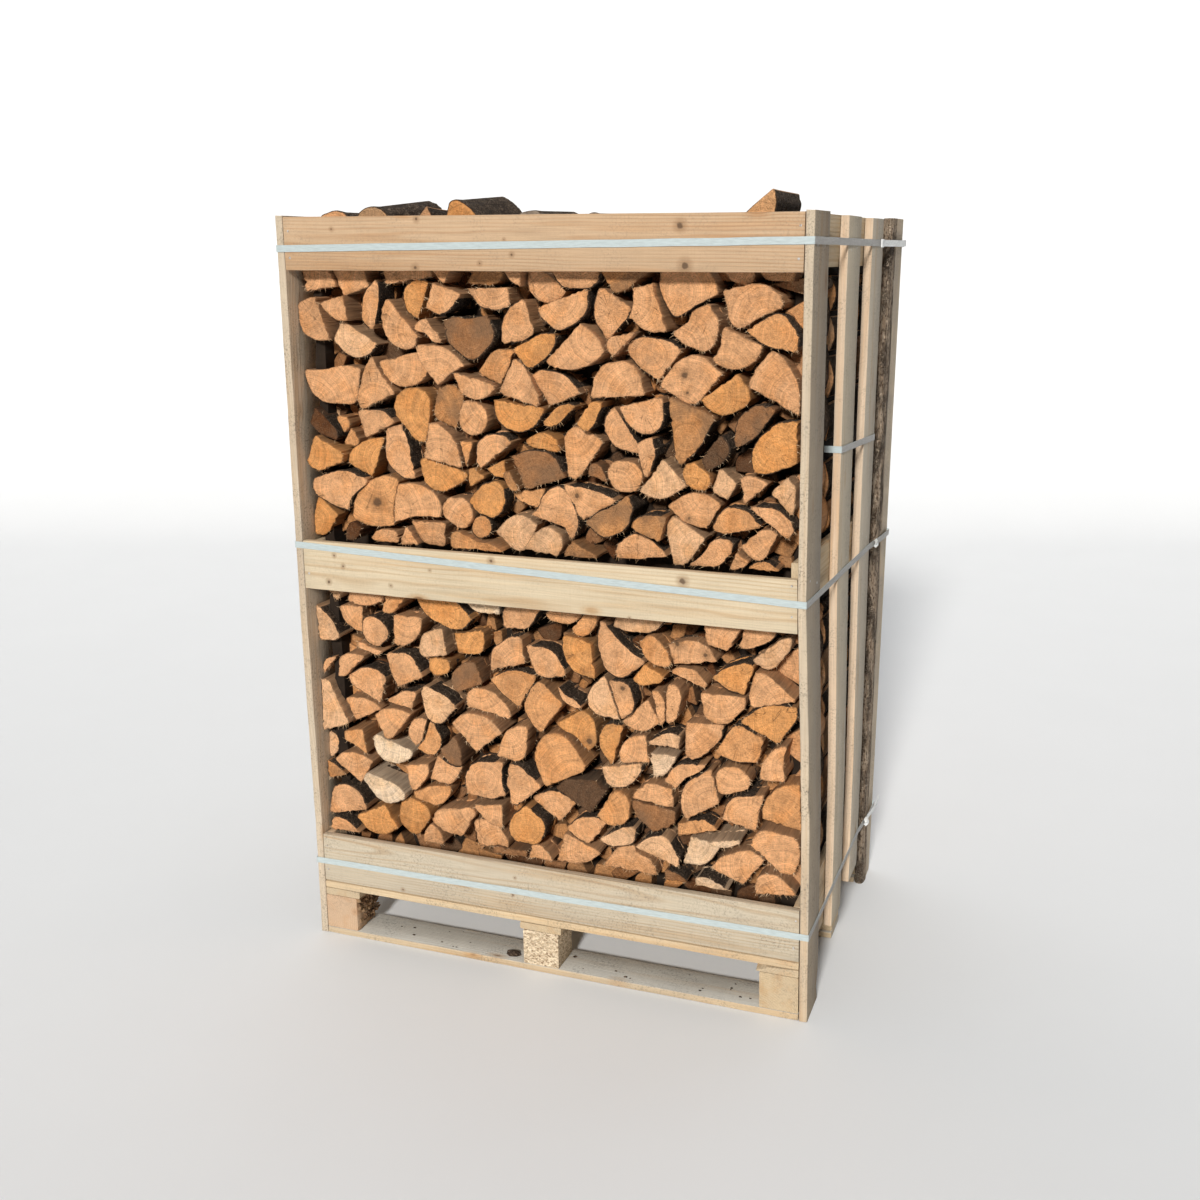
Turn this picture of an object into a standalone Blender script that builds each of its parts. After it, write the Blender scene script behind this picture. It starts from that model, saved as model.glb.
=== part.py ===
"""Crate of firewood: a slatted pallet crate, strapped round, filled with split logs.

Units are metres, +Z is up and the front of the crate faces -Y.  The crate is first laid out square,
with x from 0 to WIDTH and y from 0 to DEPTH, then racked the way the real one stands, and at the end
the whole object is centred over the origin with its underside at z = 0.
"""
import math
import random

import bmesh
import bpy
from mathutils import Vector

# Driving dimensions of the crate
WIDTH = 1.100            # outer faces of the corner posts
DEPTH = 0.738
HEIGHT = 1.545           # top of the corner posts
BOARD = 0.0175           # thickness of every sawn board
POST_WIDTH = 0.1055      # how far a corner post reaches along the side
SLAT_WIDTH = 0.103
GAP = 0.0003             # clearance left between pieces that touch

# Pallet
BOTTOM_BOARD = (0.092, 0.0150)             # width, thickness
BLOCK = (0.080, 0.078, 0.0782)             # along x, along y, height
STRINGER = (0.093, 0.0160)                 # width, thickness
DECK_BOARD = (0.098, 0.0160)
DECK_BOARDS = 5
MIDDLE_ROW_Y = 0.398                       # the middle row of blocks is a little behind the middle
SIDE_BLOCK_X = (0.0555, 0.533, 1.0425)     # middles of the blocks across the front

# Heights of the horizontal boards, bottom and top
LOWER_RAIL = (0.1279, 0.2375)
MIDDLE_RAIL = (0.7920, 0.8950)
TOP_RAIL = (1.4395, 1.5420)
SIDE_MIDDLE_RAIL = {"left": (0.800, 0.888), "right": (0.826, 0.923)}
SIDE_TOP_RAIL = (1.4475, 1.5425)

# Upright slats on the sides: front edge, and the height of the foot
SLAT_Y = (0.250, 0.4545)
SLAT_FOOT = {"left": (0.080, 0.090), "right": (0.085, 0.093)}
BACK_SLAB = 0.024        # thickness of the rough slab used as the right back post

# The real crate leans: sideways offsets of the two front corners by height, fading out to the back
LEAN_LEFT = ((0.00, 0.0000), (0.25, -0.0010), (0.74, -0.0100), (0.90, -0.0105), (1.43, -0.0145),
             (1.60, -0.0165))
LEAN_RIGHT = ((0.00, 0.0000), (0.20, -0.0050), (0.41, -0.0105), (0.62, -0.0210), (0.85, -0.0340),
              (1.15, -0.0395), (1.43, -0.0440), (1.60, -0.0445))
BENDS = sorted({height for height, _ in LEAN_LEFT + LEAN_RIGHT})

# Straps: a thin plastic band, with its height at each corner from front left round to back left
STRAP = (0.0135, 0.0010)                   # width, thickness
TOP_STRAP = (1.4815, 1.4940, 1.4930, 1.4860)
MIDDLE_STRAP = (0.8855, 0.8487, 0.8500, 0.8700)
LOWER_STRAP = (0.1740, 0.1836, 0.1740, 0.1730)
TIE_HEIGHT = (1.102, 1.090)                # short tie round the two slats, front and rear

# Firewood
ROW_ENDS = (0.085, 0.2600, 0.4780, 0.653)  # where the three rows of logs start and end, in depth
PROUD_ENDS = (0.027, 0.052)                # range of y in which the front log ends finish
ROW_TOP = 1.4885
LOG_SIZE = (0.062, 0.100)                  # thinnest and thickest log at the sides and on top
SIDE_BAYS = ((0.2405, 0.789), (0.930, 1.080), (1.112, 1.436))   # where logs reach the slats
LOG_TOLERANCE = {"front": 0.0050, "back": 0.0130}

# Ends of the split logs seen in the front, as outlines x, z, x, z ... in millimetres
UPPER_BAY = (
    (14, 1446, 75, 1446, 90, 1409, 20, 1400),
    (80, 1446, 150, 1446, 163, 1409, 125, 1397, 103, 1392, 90, 1415),
    (154, 1446, 176, 1446, 163, 1419),
    (196, 1446, 300, 1446, 300, 1429, 235, 1418, 200, 1415),
    (6, 1375, 45, 1389, 52, 1378, 74, 1305, 42, 1303, 30, 1315, 10, 1320, 2, 1345),
    (58, 1375, 110, 1392, 116, 1362, 120, 1344, 94, 1344, 75, 1356),
    (153, 1397, 180, 1422, 186, 1415, 186, 1375, 181, 1356, 172, 1327, 156, 1333, 147, 1347, 150, 1372),
    (205, 1386, 240, 1344, 273, 1312, 262, 1295, 244, 1289, 219, 1297, 200, 1316, 191, 1344, 194, 1369),
    (236, 1397, 247, 1416, 270, 1425, 290, 1418, 281, 1378, 266, 1349, 259, 1349, 241, 1362),
    (97, 1342, 119, 1331, 172, 1297, 159, 1278, 125, 1267, 100, 1278, 77, 1303, 87, 1319),
    (3, 1241, 44, 1241, 97, 1253, 131, 1247, 131, 1231, 124, 1191, 114, 1176, 97, 1172, 47, 1178, 19, 1200),
    (164, 1272, 175, 1247, 212, 1202, 136, 1167, 127, 1184, 134, 1212, 147, 1250),
    (178, 1262, 216, 1272, 266, 1284, 287, 1246, 269, 1225, 244, 1216, 215, 1217, 190, 1234),
    (266, 1297, 300, 1300, 330, 1297, 373, 1262, 345, 1250, 314, 1222, 291, 1250, 272, 1272),
    (209, 1165, 219, 1199, 237, 1211, 266, 1214, 290, 1203, 290, 1162, 278, 1108, 259, 1108),
    (306, 1446, 348, 1446, 332, 1417),
    (373, 1417, 382, 1431, 391, 1446, 451, 1446, 445, 1425, 429, 1414, 404, 1410, 379, 1412),
    (457, 1446, 496, 1446, 493, 1411, 473, 1423),
    (503, 1446, 545, 1434, 579, 1403, 565, 1389, 535, 1380, 517, 1387, 501, 1402, 497, 1419),
    (309, 1419, 329, 1412, 368, 1397, 348, 1369, 332, 1358, 323, 1355, 301, 1361, 295, 1369),
    (376, 1407, 461, 1408, 462, 1375, 442, 1367, 420, 1366, 401, 1371, 389, 1384),
    (372, 1380, 400, 1366, 387, 1358, 367, 1366),
    (262, 1334, 286, 1351, 301, 1334, 321, 1309, 318, 1303, 304, 1306, 286, 1325, 270, 1325),
    (326, 1347, 333, 1351, 351, 1354, 376, 1348, 420, 1357, 429, 1344, 434, 1325, 432, 1309, 404, 1277,
     395, 1272, 379, 1273, 351, 1287, 332, 1303),
    (492, 1387, 501, 1356, 512, 1325, 489, 1309, 447, 1305, 445, 1341, 450, 1356, 464, 1375),
    (528, 1373, 600, 1400, 628, 1408, 632, 1381, 624, 1362, 599, 1341, 565, 1330, 552, 1338, 531, 1358),
    (478, 1294, 495, 1307, 536, 1326, 561, 1325, 565, 1312, 551, 1287, 517, 1261, 504, 1261, 489, 1280),
    (426, 1292, 445, 1296, 471, 1292, 457, 1262, 440, 1225, 411, 1236, 392, 1247, 401, 1262),
    (474, 1276, 496, 1262, 502, 1244, 524, 1203, 521, 1186, 489, 1197, 442, 1211, 456, 1244),
    (348, 1248, 364, 1241, 407, 1234, 434, 1225, 437, 1216, 426, 1204, 404, 1196, 382, 1197, 367, 1203,
     354, 1222),
    (506, 1246, 520, 1256, 545, 1258, 576, 1250, 590, 1231, 605, 1213, 571, 1200, 541, 1188, 528, 1206),
    (307, 1217, 345, 1222, 361, 1200, 353, 1165, 343, 1136, 323, 1149, 302, 1152, 294, 1165),
    (358, 1165, 362, 1178, 369, 1192, 401, 1190, 417, 1175, 420, 1156, 412, 1138, 395, 1127, 376, 1129,
     359, 1142),
    (428, 1195, 445, 1193, 537, 1183, 533, 1168, 522, 1153, 501, 1138, 482, 1133, 464, 1136, 447, 1148,
     431, 1160),
    (553, 1446, 649, 1446, 649, 1422, 634, 1411, 590, 1409, 573, 1416),
    (653, 1446, 749, 1446, 702, 1408, 677, 1402, 665, 1418),
    (651, 1412, 681, 1393, 709, 1375, 704, 1359, 662, 1316, 648, 1331, 635, 1353, 639, 1391),
    (717, 1409, 754, 1420, 763, 1394, 779, 1334, 768, 1329, 746, 1332, 736, 1344, 711, 1356, 712, 1375,
     720, 1387),
    (761, 1422, 767, 1446, 857, 1446, 870, 1422, 875, 1404, 847, 1389, 800, 1360, 790, 1362, 770, 1391),
    (613, 1345, 646, 1323, 662, 1294, 634, 1270, 602, 1260, 559, 1264, 545, 1273, 571, 1300),
    (664, 1309, 673, 1320, 721, 1331, 694, 1300, 677, 1285, 669, 1297),
    (698, 1297, 704, 1314, 734, 1323, 759, 1323, 788, 1315, 806, 1300, 788, 1275, 763, 1243, 727, 1263,
     704, 1284),
    (654, 1270, 674, 1278, 700, 1279, 725, 1261, 736, 1237, 738, 1216, 690, 1211, 633, 1208, 639, 1244),
    (792, 1331, 822, 1349, 828, 1369, 861, 1384, 867, 1372, 883, 1347, 877, 1325, 867, 1307, 851, 1299,
     829, 1302, 808, 1313),
    (767, 1234, 821, 1202, 836, 1202, 864, 1237, 885, 1259, 845, 1296, 799, 1280, 773, 1250),
    (690, 1192, 727, 1204, 772, 1212, 777, 1180, 772, 1157, 753, 1143, 731, 1143, 718, 1153, 704, 1160),
    (786, 1214, 835, 1195, 875, 1181, 863, 1150, 848, 1122, 824, 1097, 810, 1089, 801, 1097, 795, 1130),
    (634, 1201, 658, 1201, 647, 1170, 641, 1156, 625, 1144, 608, 1156, 614, 1175),
    (530, 1153, 542, 1172, 560, 1188, 588, 1195, 596, 1188, 590, 1178, 575, 1164, 558, 1152, 542, 1147),
    (879, 1446, 938, 1446, 938, 1425, 929, 1417, 913, 1416, 899, 1422),
    (944, 1446, 1016, 1446, 1010, 1425, 985, 1421, 960, 1427),
    (885, 1406, 941, 1420, 966, 1416, 994, 1394, 992, 1377, 982, 1375, 947, 1361, 919, 1339, 910, 1339,
     899, 1350, 890, 1378),
    (931, 1337, 979, 1368, 999, 1368, 1029, 1328, 1022, 1302, 966, 1311, 951, 1321),
    (887, 1343, 916, 1335, 961, 1309, 949, 1284, 919, 1268, 891, 1271, 868, 1284, 884, 1303),
    (915, 1259, 942, 1225, 933, 1203, 914, 1192, 894, 1183, 868, 1188, 846, 1209, 887, 1241),
    (976, 1303, 997, 1292, 1010, 1266, 1029, 1244, 1030, 1189, 997, 1202, 963, 1218, 934, 1238, 946, 1266),
    (918, 1181, 937, 1197, 960, 1210, 989, 1200, 980, 1178, 958, 1150, 921, 1127, 915, 1137),
    (996, 1177, 1030, 1180, 1031, 1102, 1000, 1089, 976, 1080, 953, 1082, 946, 1112, 956, 1141, 974, 1162),
    (17, 1134, 31, 1167, 50, 1154, 78, 1119, 75, 1102, 39, 1113),
    (77, 1150, 103, 1150, 107, 1133, 94, 1119, 84, 1134),
    (95, 1115, 108, 1128, 123, 1100, 116, 1091, 100, 1089, 88, 1094, 90, 1105),
    (127, 1163, 150, 1165, 172, 1170, 187, 1168, 210, 1144, 172, 1124, 144, 1110),
    (31, 1110, 95, 1077, 92, 1060, 50, 1043, 31, 1036, 8, 1048, 5, 1053),
    (100, 1077, 122, 1091, 137, 1104, 179, 1109, 162, 1053, 150, 1029, 96, 1056),
    (189, 1128, 222, 1139, 237, 1112, 252, 1059, 254, 1033, 231, 1030, 202, 1048, 186, 1072, 185, 1100),
    (261, 1067, 272, 1074, 351, 1056, 369, 1048, 365, 1037, 346, 1021, 317, 1008, 289, 1014, 272, 1028,
     261, 1050),
    (18, 1020, 31, 1029, 94, 1045, 110, 1042, 149, 1023, 129, 1009, 105, 984, 101, 961, 75, 963, 49, 972,
     27, 984, 14, 997),
    (155, 1025, 187, 1035, 214, 1027, 204, 1000, 199, 972, 201, 933, 187, 927, 150, 927, 131, 933,
     108, 941, 110, 972, 124, 1000),
    (214, 1017, 221, 1020, 257, 1023, 298, 1003, 310, 981, 309, 958, 270, 957, 247, 957, 225, 946,
     205, 940, 204, 975, 209, 1000),
    (22, 981, 59, 954, 65, 944, 37, 899, 16, 896, 5, 900, 3, 940),
    (91, 897, 96, 925, 109, 936, 132, 923, 114, 897),
    (146, 903, 162, 920, 198, 921, 210, 909, 207, 897, 155, 897),
    (218, 910, 233, 934, 259, 897, 218, 897),
    (238, 942, 270, 941, 315, 943, 319, 928, 312, 897, 264, 897, 248, 922),
    (295, 1145, 311, 1147, 330, 1135, 350, 1116, 359, 1084, 359, 1061, 280, 1077, 288, 1112),
    (359, 1112, 367, 1115, 384, 1111, 382, 1097, 370, 1063, 365, 1068),
    (394, 1114, 406, 1126, 423, 1132, 457, 1126, 466, 1116, 445, 1099, 400, 1061, 391, 1070, 391, 1087),
    (411, 1059, 426, 1070, 448, 1078, 449, 1046, 428, 1043),
    (453, 1056, 464, 1058, 484, 1024, 470, 1021, 456, 1037),
    (497, 1119, 509, 1132, 529, 1140, 551, 1135, 562, 1125, 566, 1100, 539, 1104, 506, 1110),
    (469, 1087, 486, 1098, 504, 1103, 545, 1100, 561, 1089, 573, 1069, 579, 1052, 559, 1043, 497, 1025,
     484, 1061),
    (375, 1057, 386, 1060, 409, 1044, 396, 1033, 376, 1024, 372, 1031),
    (406, 1035, 420, 1039, 439, 1035, 446, 1019, 455, 1000, 443, 984, 437, 970, 423, 961, 407, 969,
     388, 971, 373, 994, 381, 1006, 394, 1016),
    (463, 1014, 495, 1020, 530, 1025, 531, 1016, 524, 994, 514, 986, 495, 993, 472, 1000),
    (322, 997, 339, 1001, 361, 998, 374, 984, 379, 962, 366, 940, 348, 936, 328, 945, 316, 959, 313, 978),
    (378, 956, 395, 965, 412, 955, 416, 937, 407, 921, 389, 916, 375, 921, 369, 939),
    (333, 923, 345, 931, 367, 923, 395, 910, 420, 910, 440, 902, 446, 897, 332, 897),
    (422, 931, 445, 954, 457, 965, 482, 970, 502, 962, 515, 952, 493, 919, 484, 897, 462, 897, 439, 911),
    (508, 975, 522, 987, 531, 1012, 550, 1031, 568, 1036, 585, 1023, 597, 997, 605, 975, 604, 950,
     590, 930, 581, 952, 559, 961, 540, 964),
    (491, 906, 503, 925, 522, 944, 545, 954, 559, 952, 572, 941, 575, 919, 563, 897, 515, 898),
    (573, 1131, 587, 1146, 606, 1151, 624, 1140, 652, 1123, 632, 1091, 606, 1055, 593, 1049, 583, 1055,
     576, 1097),
    (674, 1190, 660, 1178, 652, 1150, 658, 1131, 676, 1111, 702, 1104, 725, 1105, 725, 1116, 709, 1142,
     690, 1170),
    (727, 1127, 755, 1138, 766, 1112, 760, 1091, 749, 1064, 742, 1068, 733, 1103),
    (667, 1075, 683, 1090, 702, 1093, 720, 1089, 735, 1072, 736, 1053, 725, 1034, 709, 1029, 689, 1033,
     673, 1047),
    (629, 1082, 646, 1079, 663, 1047, 623, 1059),
    (776, 1096, 799, 1075, 822, 1050, 807, 1034, 784, 1024, 756, 1024, 733, 1034, 752, 1060),
    (577, 1039, 602, 1039, 640, 1032, 686, 1014, 644, 994, 615, 971, 608, 976, 600, 998, 589, 1024),
    (709, 1026, 722, 1006, 719, 981, 708, 958, 684, 946, 665, 941, 645, 949, 626, 969, 649, 989, 684, 1004),
    (752, 992, 788, 989, 773, 941, 723, 960, 717, 969, 729, 985),
    (789, 985, 799, 987, 859, 950, 822, 897, 800, 897, 789, 925, 783, 962),
    (783, 1006, 815, 1029, 847, 1039, 886, 1016, 870, 987, 860, 968, 818, 977, 802, 990),
    (679, 900, 679, 925, 692, 940, 715, 950, 740, 948, 766, 930, 782, 909, 746, 902, 715, 897),
    (573, 897, 579, 912, 590, 926, 625, 909, 645, 897),
    (645, 906, 659, 914, 667, 897, 657, 895),
    (818, 1075, 824, 1090, 838, 1096, 851, 1092, 870, 1075, 870, 1056, 860, 1044, 844, 1043, 829, 1049),
    (853, 1100, 885, 1148, 902, 1134, 905, 1119, 892, 1096, 862, 1081),
    (885, 1084, 919, 1058, 900, 1027, 871, 1041),
    (924, 1070, 947, 1073, 977, 1061, 951, 1036, 933, 1021, 928, 1047),
    (1016, 1075, 1030, 1056, 1025, 1005, 984, 1045),
    (946, 1017, 972, 1023, 997, 1020, 1027, 994, 1031, 975, 1019, 964, 997, 977, 967, 1002),
    (874, 969, 884, 997, 903, 1016, 919, 1018, 945, 1009, 964, 991, 967, 980, 935, 971, 896, 961),
    (932, 941, 946, 959, 966, 973, 985, 976, 999, 968, 983, 944, 974, 918, 954, 918),
    (831, 897, 856, 916, 871, 944, 888, 954, 908, 953, 917, 934, 902, 909, 890, 897),
    (912, 897, 924, 929, 947, 914, 936, 899),
    (944, 897, 953, 909, 979, 914, 999, 905, 1003, 897),
)
LOWER_BAY = (
    (25, 788, 75, 788, 50, 759),
    (93, 788, 170, 788, 168, 769, 125, 756, 99, 757, 88, 764),
    (177, 788, 228, 788, 200, 754, 187, 744, 166, 747),
    (236, 788, 326, 788, 351, 757, 366, 745, 356, 728, 347, 722, 323, 719, 300, 727, 289, 727, 261, 742),
    (2, 748, 25, 739, 46, 720, 57, 700, 59, 681, 50, 672, 10, 671),
    (54, 745, 109, 750, 110, 696, 100, 694, 83, 700, 66, 711),
    (116, 725, 131, 734, 156, 728, 176, 709, 178, 691, 167, 675, 150, 667, 127, 675, 114, 692),
    (189, 739, 251, 738, 248, 709, 229, 684, 214, 677, 203, 673, 188, 677),
    (255, 707, 275, 710, 299, 720, 303, 694, 309, 664, 270, 658, 252, 654, 243, 669, 246, 684),
    (108, 676, 125, 671, 162, 658, 152, 652, 128, 657, 107, 666),
    (172, 656, 188, 660, 216, 662, 235, 653, 253, 625, 256, 613, 198, 587, 183, 612),
    (54, 625, 61, 640, 87, 648, 121, 646, 101, 625, 80, 609, 70, 596, 54, 594),
    (2, 612, 21, 628, 45, 634, 42, 625, 25, 608, 2, 594),
    (74, 594, 93, 612, 112, 620, 131, 618, 151, 612, 164, 600, 164, 584, 154, 569, 148, 543, 125, 552,
     100, 564, 79, 576),
    (2, 583, 28, 582, 36, 562, 57, 516, 74, 489, 2, 468),
    (61, 541, 81, 546, 112, 546, 146, 525, 137, 515, 103, 501, 83, 493, 71, 516),
    (168, 550, 188, 567, 212, 579, 239, 577, 232, 553, 224, 538, 191, 541),
    (161, 533, 191, 536, 226, 528, 198, 494, 175, 466, 164, 466, 152, 500, 141, 516),
    (249, 582, 257, 592, 290, 582, 309, 574, 327, 553, 324, 541, 312, 527, 297, 513, 277, 513, 261, 525,
     252, 550),
    (264, 651, 305, 653, 313, 637, 302, 618, 292, 614, 272, 617, 264, 628),
    (356, 788, 430, 788, 430, 763, 395, 759, 375, 764),
    (436, 769, 448, 788, 523, 788, 515, 766, 502, 748, 486, 736, 470, 733, 441, 736),
    (530, 771, 551, 788, 613, 779, 600, 763, 581, 752, 553, 755, 539, 760),
    (322, 709, 328, 715, 390, 723, 395, 703, 393, 684, 374, 670, 361, 668, 334, 671, 331, 684),
    (406, 682, 425, 696, 448, 717, 457, 721, 477, 717, 480, 691, 484, 664, 445, 650, 406, 641),
    (492, 703, 499, 707, 529, 706, 555, 698, 568, 678, 579, 652, 540, 640, 513, 646, 503, 675),
    (320, 625, 334, 642, 351, 654, 374, 654, 387, 625, 390, 612, 364, 602, 334, 587, 322, 596),
    (406, 621, 427, 635, 445, 645, 482, 645, 508, 636, 487, 609, 469, 569, 445, 583, 425, 598),
    (352, 584, 368, 598, 389, 601, 410, 596, 430, 580, 449, 559, 449, 541, 426, 543, 395, 552, 353, 558),
    (503, 621, 520, 631, 536, 614, 568, 587, 549, 562, 534, 541, 519, 521, 506, 527, 497, 541, 491, 556,
     478, 569, 481, 584),
    (319, 516, 330, 532, 348, 545, 373, 548, 404, 542, 424, 527, 435, 512, 421, 497, 394, 477, 373, 461,
     349, 482, 328, 503),
    (441, 514, 458, 526, 476, 532, 493, 529, 495, 512, 487, 470, 473, 452, 454, 452, 424, 460, 431, 484),
    (554, 543, 566, 556, 596, 567, 607, 576, 620, 573, 635, 555, 641, 531, 640, 511, 623, 493, 612, 505,
     594, 524, 569, 530),
    (615, 772, 624, 788, 643, 788, 641, 762, 632, 745, 621, 736, 602, 735, 589, 745, 602, 759),
    (576, 737, 602, 731, 631, 726, 638, 706, 644, 675, 644, 655, 615, 654, 597, 661, 586, 675, 573, 700),
    (649, 770, 665, 753, 697, 719, 740, 692, 713, 669, 698, 655, 677, 658, 658, 673, 648, 700, 640, 728),
    (684, 788, 781, 788, 772, 766, 752, 754, 699, 752, 674, 760),
    (731, 736, 752, 751, 764, 748, 782, 728, 794, 695, 786, 688, 765, 689, 741, 702, 733, 716),
    (787, 733, 806, 742, 835, 746, 869, 735, 886, 709, 872, 705, 840, 699, 800, 694, 792, 709),
    (794, 679, 807, 687, 841, 689, 852, 683, 867, 659, 864, 652, 847, 658, 812, 669),
    (720, 657, 743, 690, 765, 682, 783, 669, 775, 657, 759, 649, 736, 646),
    (657, 656, 646, 648, 629, 631, 620, 606, 623, 588, 641, 571, 659, 566, 688, 568, 690, 574, 675, 600,
     663, 631),
    (670, 648, 696, 651, 713, 643, 722, 622, 725, 603, 716, 585, 697, 573, 689, 594, 676, 625),
    (562, 629, 575, 612, 602, 603, 614, 589, 600, 587, 572, 601, 564, 616),
    (761, 639, 771, 639, 785, 622, 787, 600, 785, 578, 777, 568, 772, 575, 764, 606),
    (791, 652, 799, 657, 811, 652, 819, 634, 818, 612, 810, 587, 796, 577, 790, 582, 790, 612),
    (692, 562, 727, 591, 747, 614, 757, 597, 771, 570, 745, 550, 722, 547, 698, 556),
    (658, 554, 677, 560, 697, 554, 694, 534, 685, 500, 671, 467, 658, 482, 647, 500, 645, 525, 653, 540),
    (751, 526, 772, 546, 799, 556, 816, 549, 815, 524, 784, 519, 754, 521),
    (690, 495, 701, 522, 716, 535, 734, 543, 744, 543, 746, 522, 753, 486, 695, 479),
    (719, 643, 731, 642, 746, 622, 740, 621, 726, 631),
    (865, 788, 938, 788, 930, 766, 914, 739, 871, 747),
    (944, 788, 1008, 788, 995, 763, 972, 752, 951, 743, 932, 743),
    (957, 719, 985, 745, 1010, 764, 1030, 771, 1030, 750, 1020, 728, 1003, 711, 985, 704, 971, 707),
    (881, 678, 904, 701, 947, 717, 963, 710, 952, 681, 944, 652, 913, 657, 897, 666),
    (959, 684, 967, 700, 988, 698, 1011, 684, 1033, 666, 1047, 651, 1022, 643, 985, 639, 962, 630, 956, 650),
    (859, 645, 904, 646, 947, 645, 947, 625, 934, 605, 913, 588, 887, 587, 868, 598, 859, 619),
    (940, 597, 952, 614, 979, 632, 1010, 639, 1047, 636, 1050, 616, 1034, 594, 1015, 561, 988, 571, 960, 586),
    (829, 579, 885, 582, 905, 582, 902, 556, 884, 533, 865, 514, 840, 502, 828, 508),
    (924, 586, 938, 592, 966, 579, 986, 568, 986, 544, 977, 521, 935, 514, 904, 524, 893, 529, 908, 550,
     915, 572),
    (984, 486, 986, 520, 993, 534, 1010, 551, 1031, 557, 1025, 534, 1028, 490, 1030, 486, 997, 483),
    (63, 469, 78, 476, 106, 479, 111, 450, 114, 424, 100, 427, 68, 445, 61, 453),
    (127, 459, 135, 468, 175, 456, 219, 439, 214, 422, 200, 414, 187, 407, 172, 405, 152, 411, 136, 425,
     127, 444),
    (211, 491, 220, 507, 237, 517, 256, 515, 248, 491, 242, 466, 228, 453, 217, 463, 210, 478),
    (268, 514, 281, 504, 293, 480, 289, 457, 275, 439, 256, 436, 233, 449, 249, 466, 254, 491),
    (2, 459, 25, 457, 38, 445, 40, 431, 33, 410, 25, 404, 6, 400),
    (36, 400, 51, 417, 87, 423, 126, 406, 115, 391, 97, 356, 70, 373),
    (107, 369, 117, 384, 134, 382, 186, 365, 209, 347, 204, 332, 187, 327, 166, 319, 141, 327, 127, 341,
     117, 356),
    (205, 407, 231, 414, 260, 417, 260, 394, 243, 367, 231, 357, 218, 355, 211, 381),
    (283, 439, 301, 434, 316, 420, 341, 420, 327, 400, 316, 379, 291, 377, 266, 385, 272, 412),
    (294, 456, 328, 491, 340, 466, 341, 426, 317, 427, 305, 437),
    (219, 344, 238, 351, 266, 367, 291, 372, 311, 371, 306, 350, 288, 330, 269, 324, 244, 327, 221, 337),
    (2, 395, 31, 392, 60, 369, 47, 364, 34, 355, 19, 355, 2, 369),
    (17, 279, 19, 319, 27, 336, 47, 346, 72, 345, 101, 330, 109, 295, 75, 286, 27, 275),
    (83, 275, 123, 295, 152, 309, 181, 258, 153, 240, 112, 241, 95, 254),
    (180, 294, 188, 320, 212, 331, 236, 314, 254, 310, 254, 287, 243, 270, 225, 246, 209, 246, 189, 260,
     180, 278),
    (22, 239, 24, 261, 34, 270, 47, 267, 62, 264, 92, 243, 92, 239),
    (171, 241, 175, 245, 200, 243, 223, 239),
    (278, 318, 302, 325, 345, 335, 362, 333, 370, 322, 352, 300, 336, 264, 323, 262, 291, 271, 268, 291),
    (251, 266, 265, 284, 286, 268, 294, 240, 247, 240),
    (503, 472, 516, 500, 527, 517, 545, 525, 560, 526, 584, 514, 603, 496, 618, 478, 622, 465, 614, 452,
     584, 436, 559, 421, 531, 407, 512, 440),
    (344, 400, 358, 427, 376, 439, 401, 442, 435, 445, 431, 400, 439, 372, 407, 358, 373, 357, 349, 363,
     344, 381),
    (447, 419, 453, 445, 473, 448, 524, 406, 506, 388, 485, 367, 467, 355, 453, 358, 453, 384, 444, 400),
    (494, 369, 521, 389, 545, 398, 565, 392, 594, 373, 576, 356, 564, 333, 558, 328, 537, 338, 518, 351),
    (364, 337, 376, 343, 430, 348, 430, 296, 397, 305, 375, 323),
    (359, 294, 373, 307, 404, 303, 424, 291, 441, 266, 441, 252, 420, 257, 395, 249, 376, 241, 369, 250,
     366, 275),
    (449, 312, 453, 330, 470, 348, 489, 357, 500, 352, 527, 331, 532, 309, 527, 291, 516, 275, 489, 277,
     464, 275, 450, 291),
    (408, 250, 445, 250, 487, 251, 484, 239, 409, 239),
    (491, 239, 497, 267, 518, 270, 534, 258, 546, 239),
    (650, 459, 696, 470, 734, 478, 738, 466, 725, 441, 712, 427, 696, 421, 674, 418, 658, 427, 650, 444),
    (554, 405, 578, 429, 615, 435, 646, 435, 654, 419, 665, 416, 630, 361, 598, 375),
    (677, 414, 696, 415, 713, 397, 711, 356, 693, 343, 668, 341, 651, 349, 645, 355),
    (714, 404, 746, 442, 756, 440, 800, 432, 804, 393, 715, 402),
    (717, 396, 807, 387, 807, 357, 790, 343, 759, 333, 742, 343, 720, 369),
    (759, 509, 813, 510, 797, 478, 781, 464, 766, 462),
    (786, 453, 811, 492, 841, 495, 870, 496, 855, 478, 828, 466, 811, 439),
    (575, 316, 600, 345, 624, 350, 646, 350, 662, 339, 645, 316, 624, 289, 597, 296),
    (651, 306, 675, 323, 702, 342, 725, 342, 729, 322, 718, 305, 690, 294, 671, 294),
    (727, 306, 753, 326, 790, 331, 804, 309, 820, 284, 816, 268, 796, 274, 752, 291, 726, 299),
    (553, 240, 561, 275, 572, 305, 624, 284, 648, 271, 626, 256, 614, 240),
    (652, 240, 661, 262, 682, 285, 719, 296, 725, 278, 759, 270, 771, 240),
    (789, 240, 792, 260, 821, 254, 838, 240),
    (814, 362, 841, 376, 872, 381, 886, 374, 897, 362, 857, 349, 817, 338),
    (821, 422, 831, 456, 855, 476, 882, 489, 886, 462, 900, 422, 875, 402, 835, 380, 827, 388),
    (828, 280, 834, 312, 843, 339, 872, 329, 902, 323, 886, 294, 863, 277, 836, 277),
    (879, 334, 942, 351, 945, 344, 913, 327, 891, 327),
    (892, 478, 903, 495, 929, 501, 946, 495, 961, 478, 958, 458, 935, 449, 910, 441, 898, 445),
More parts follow.
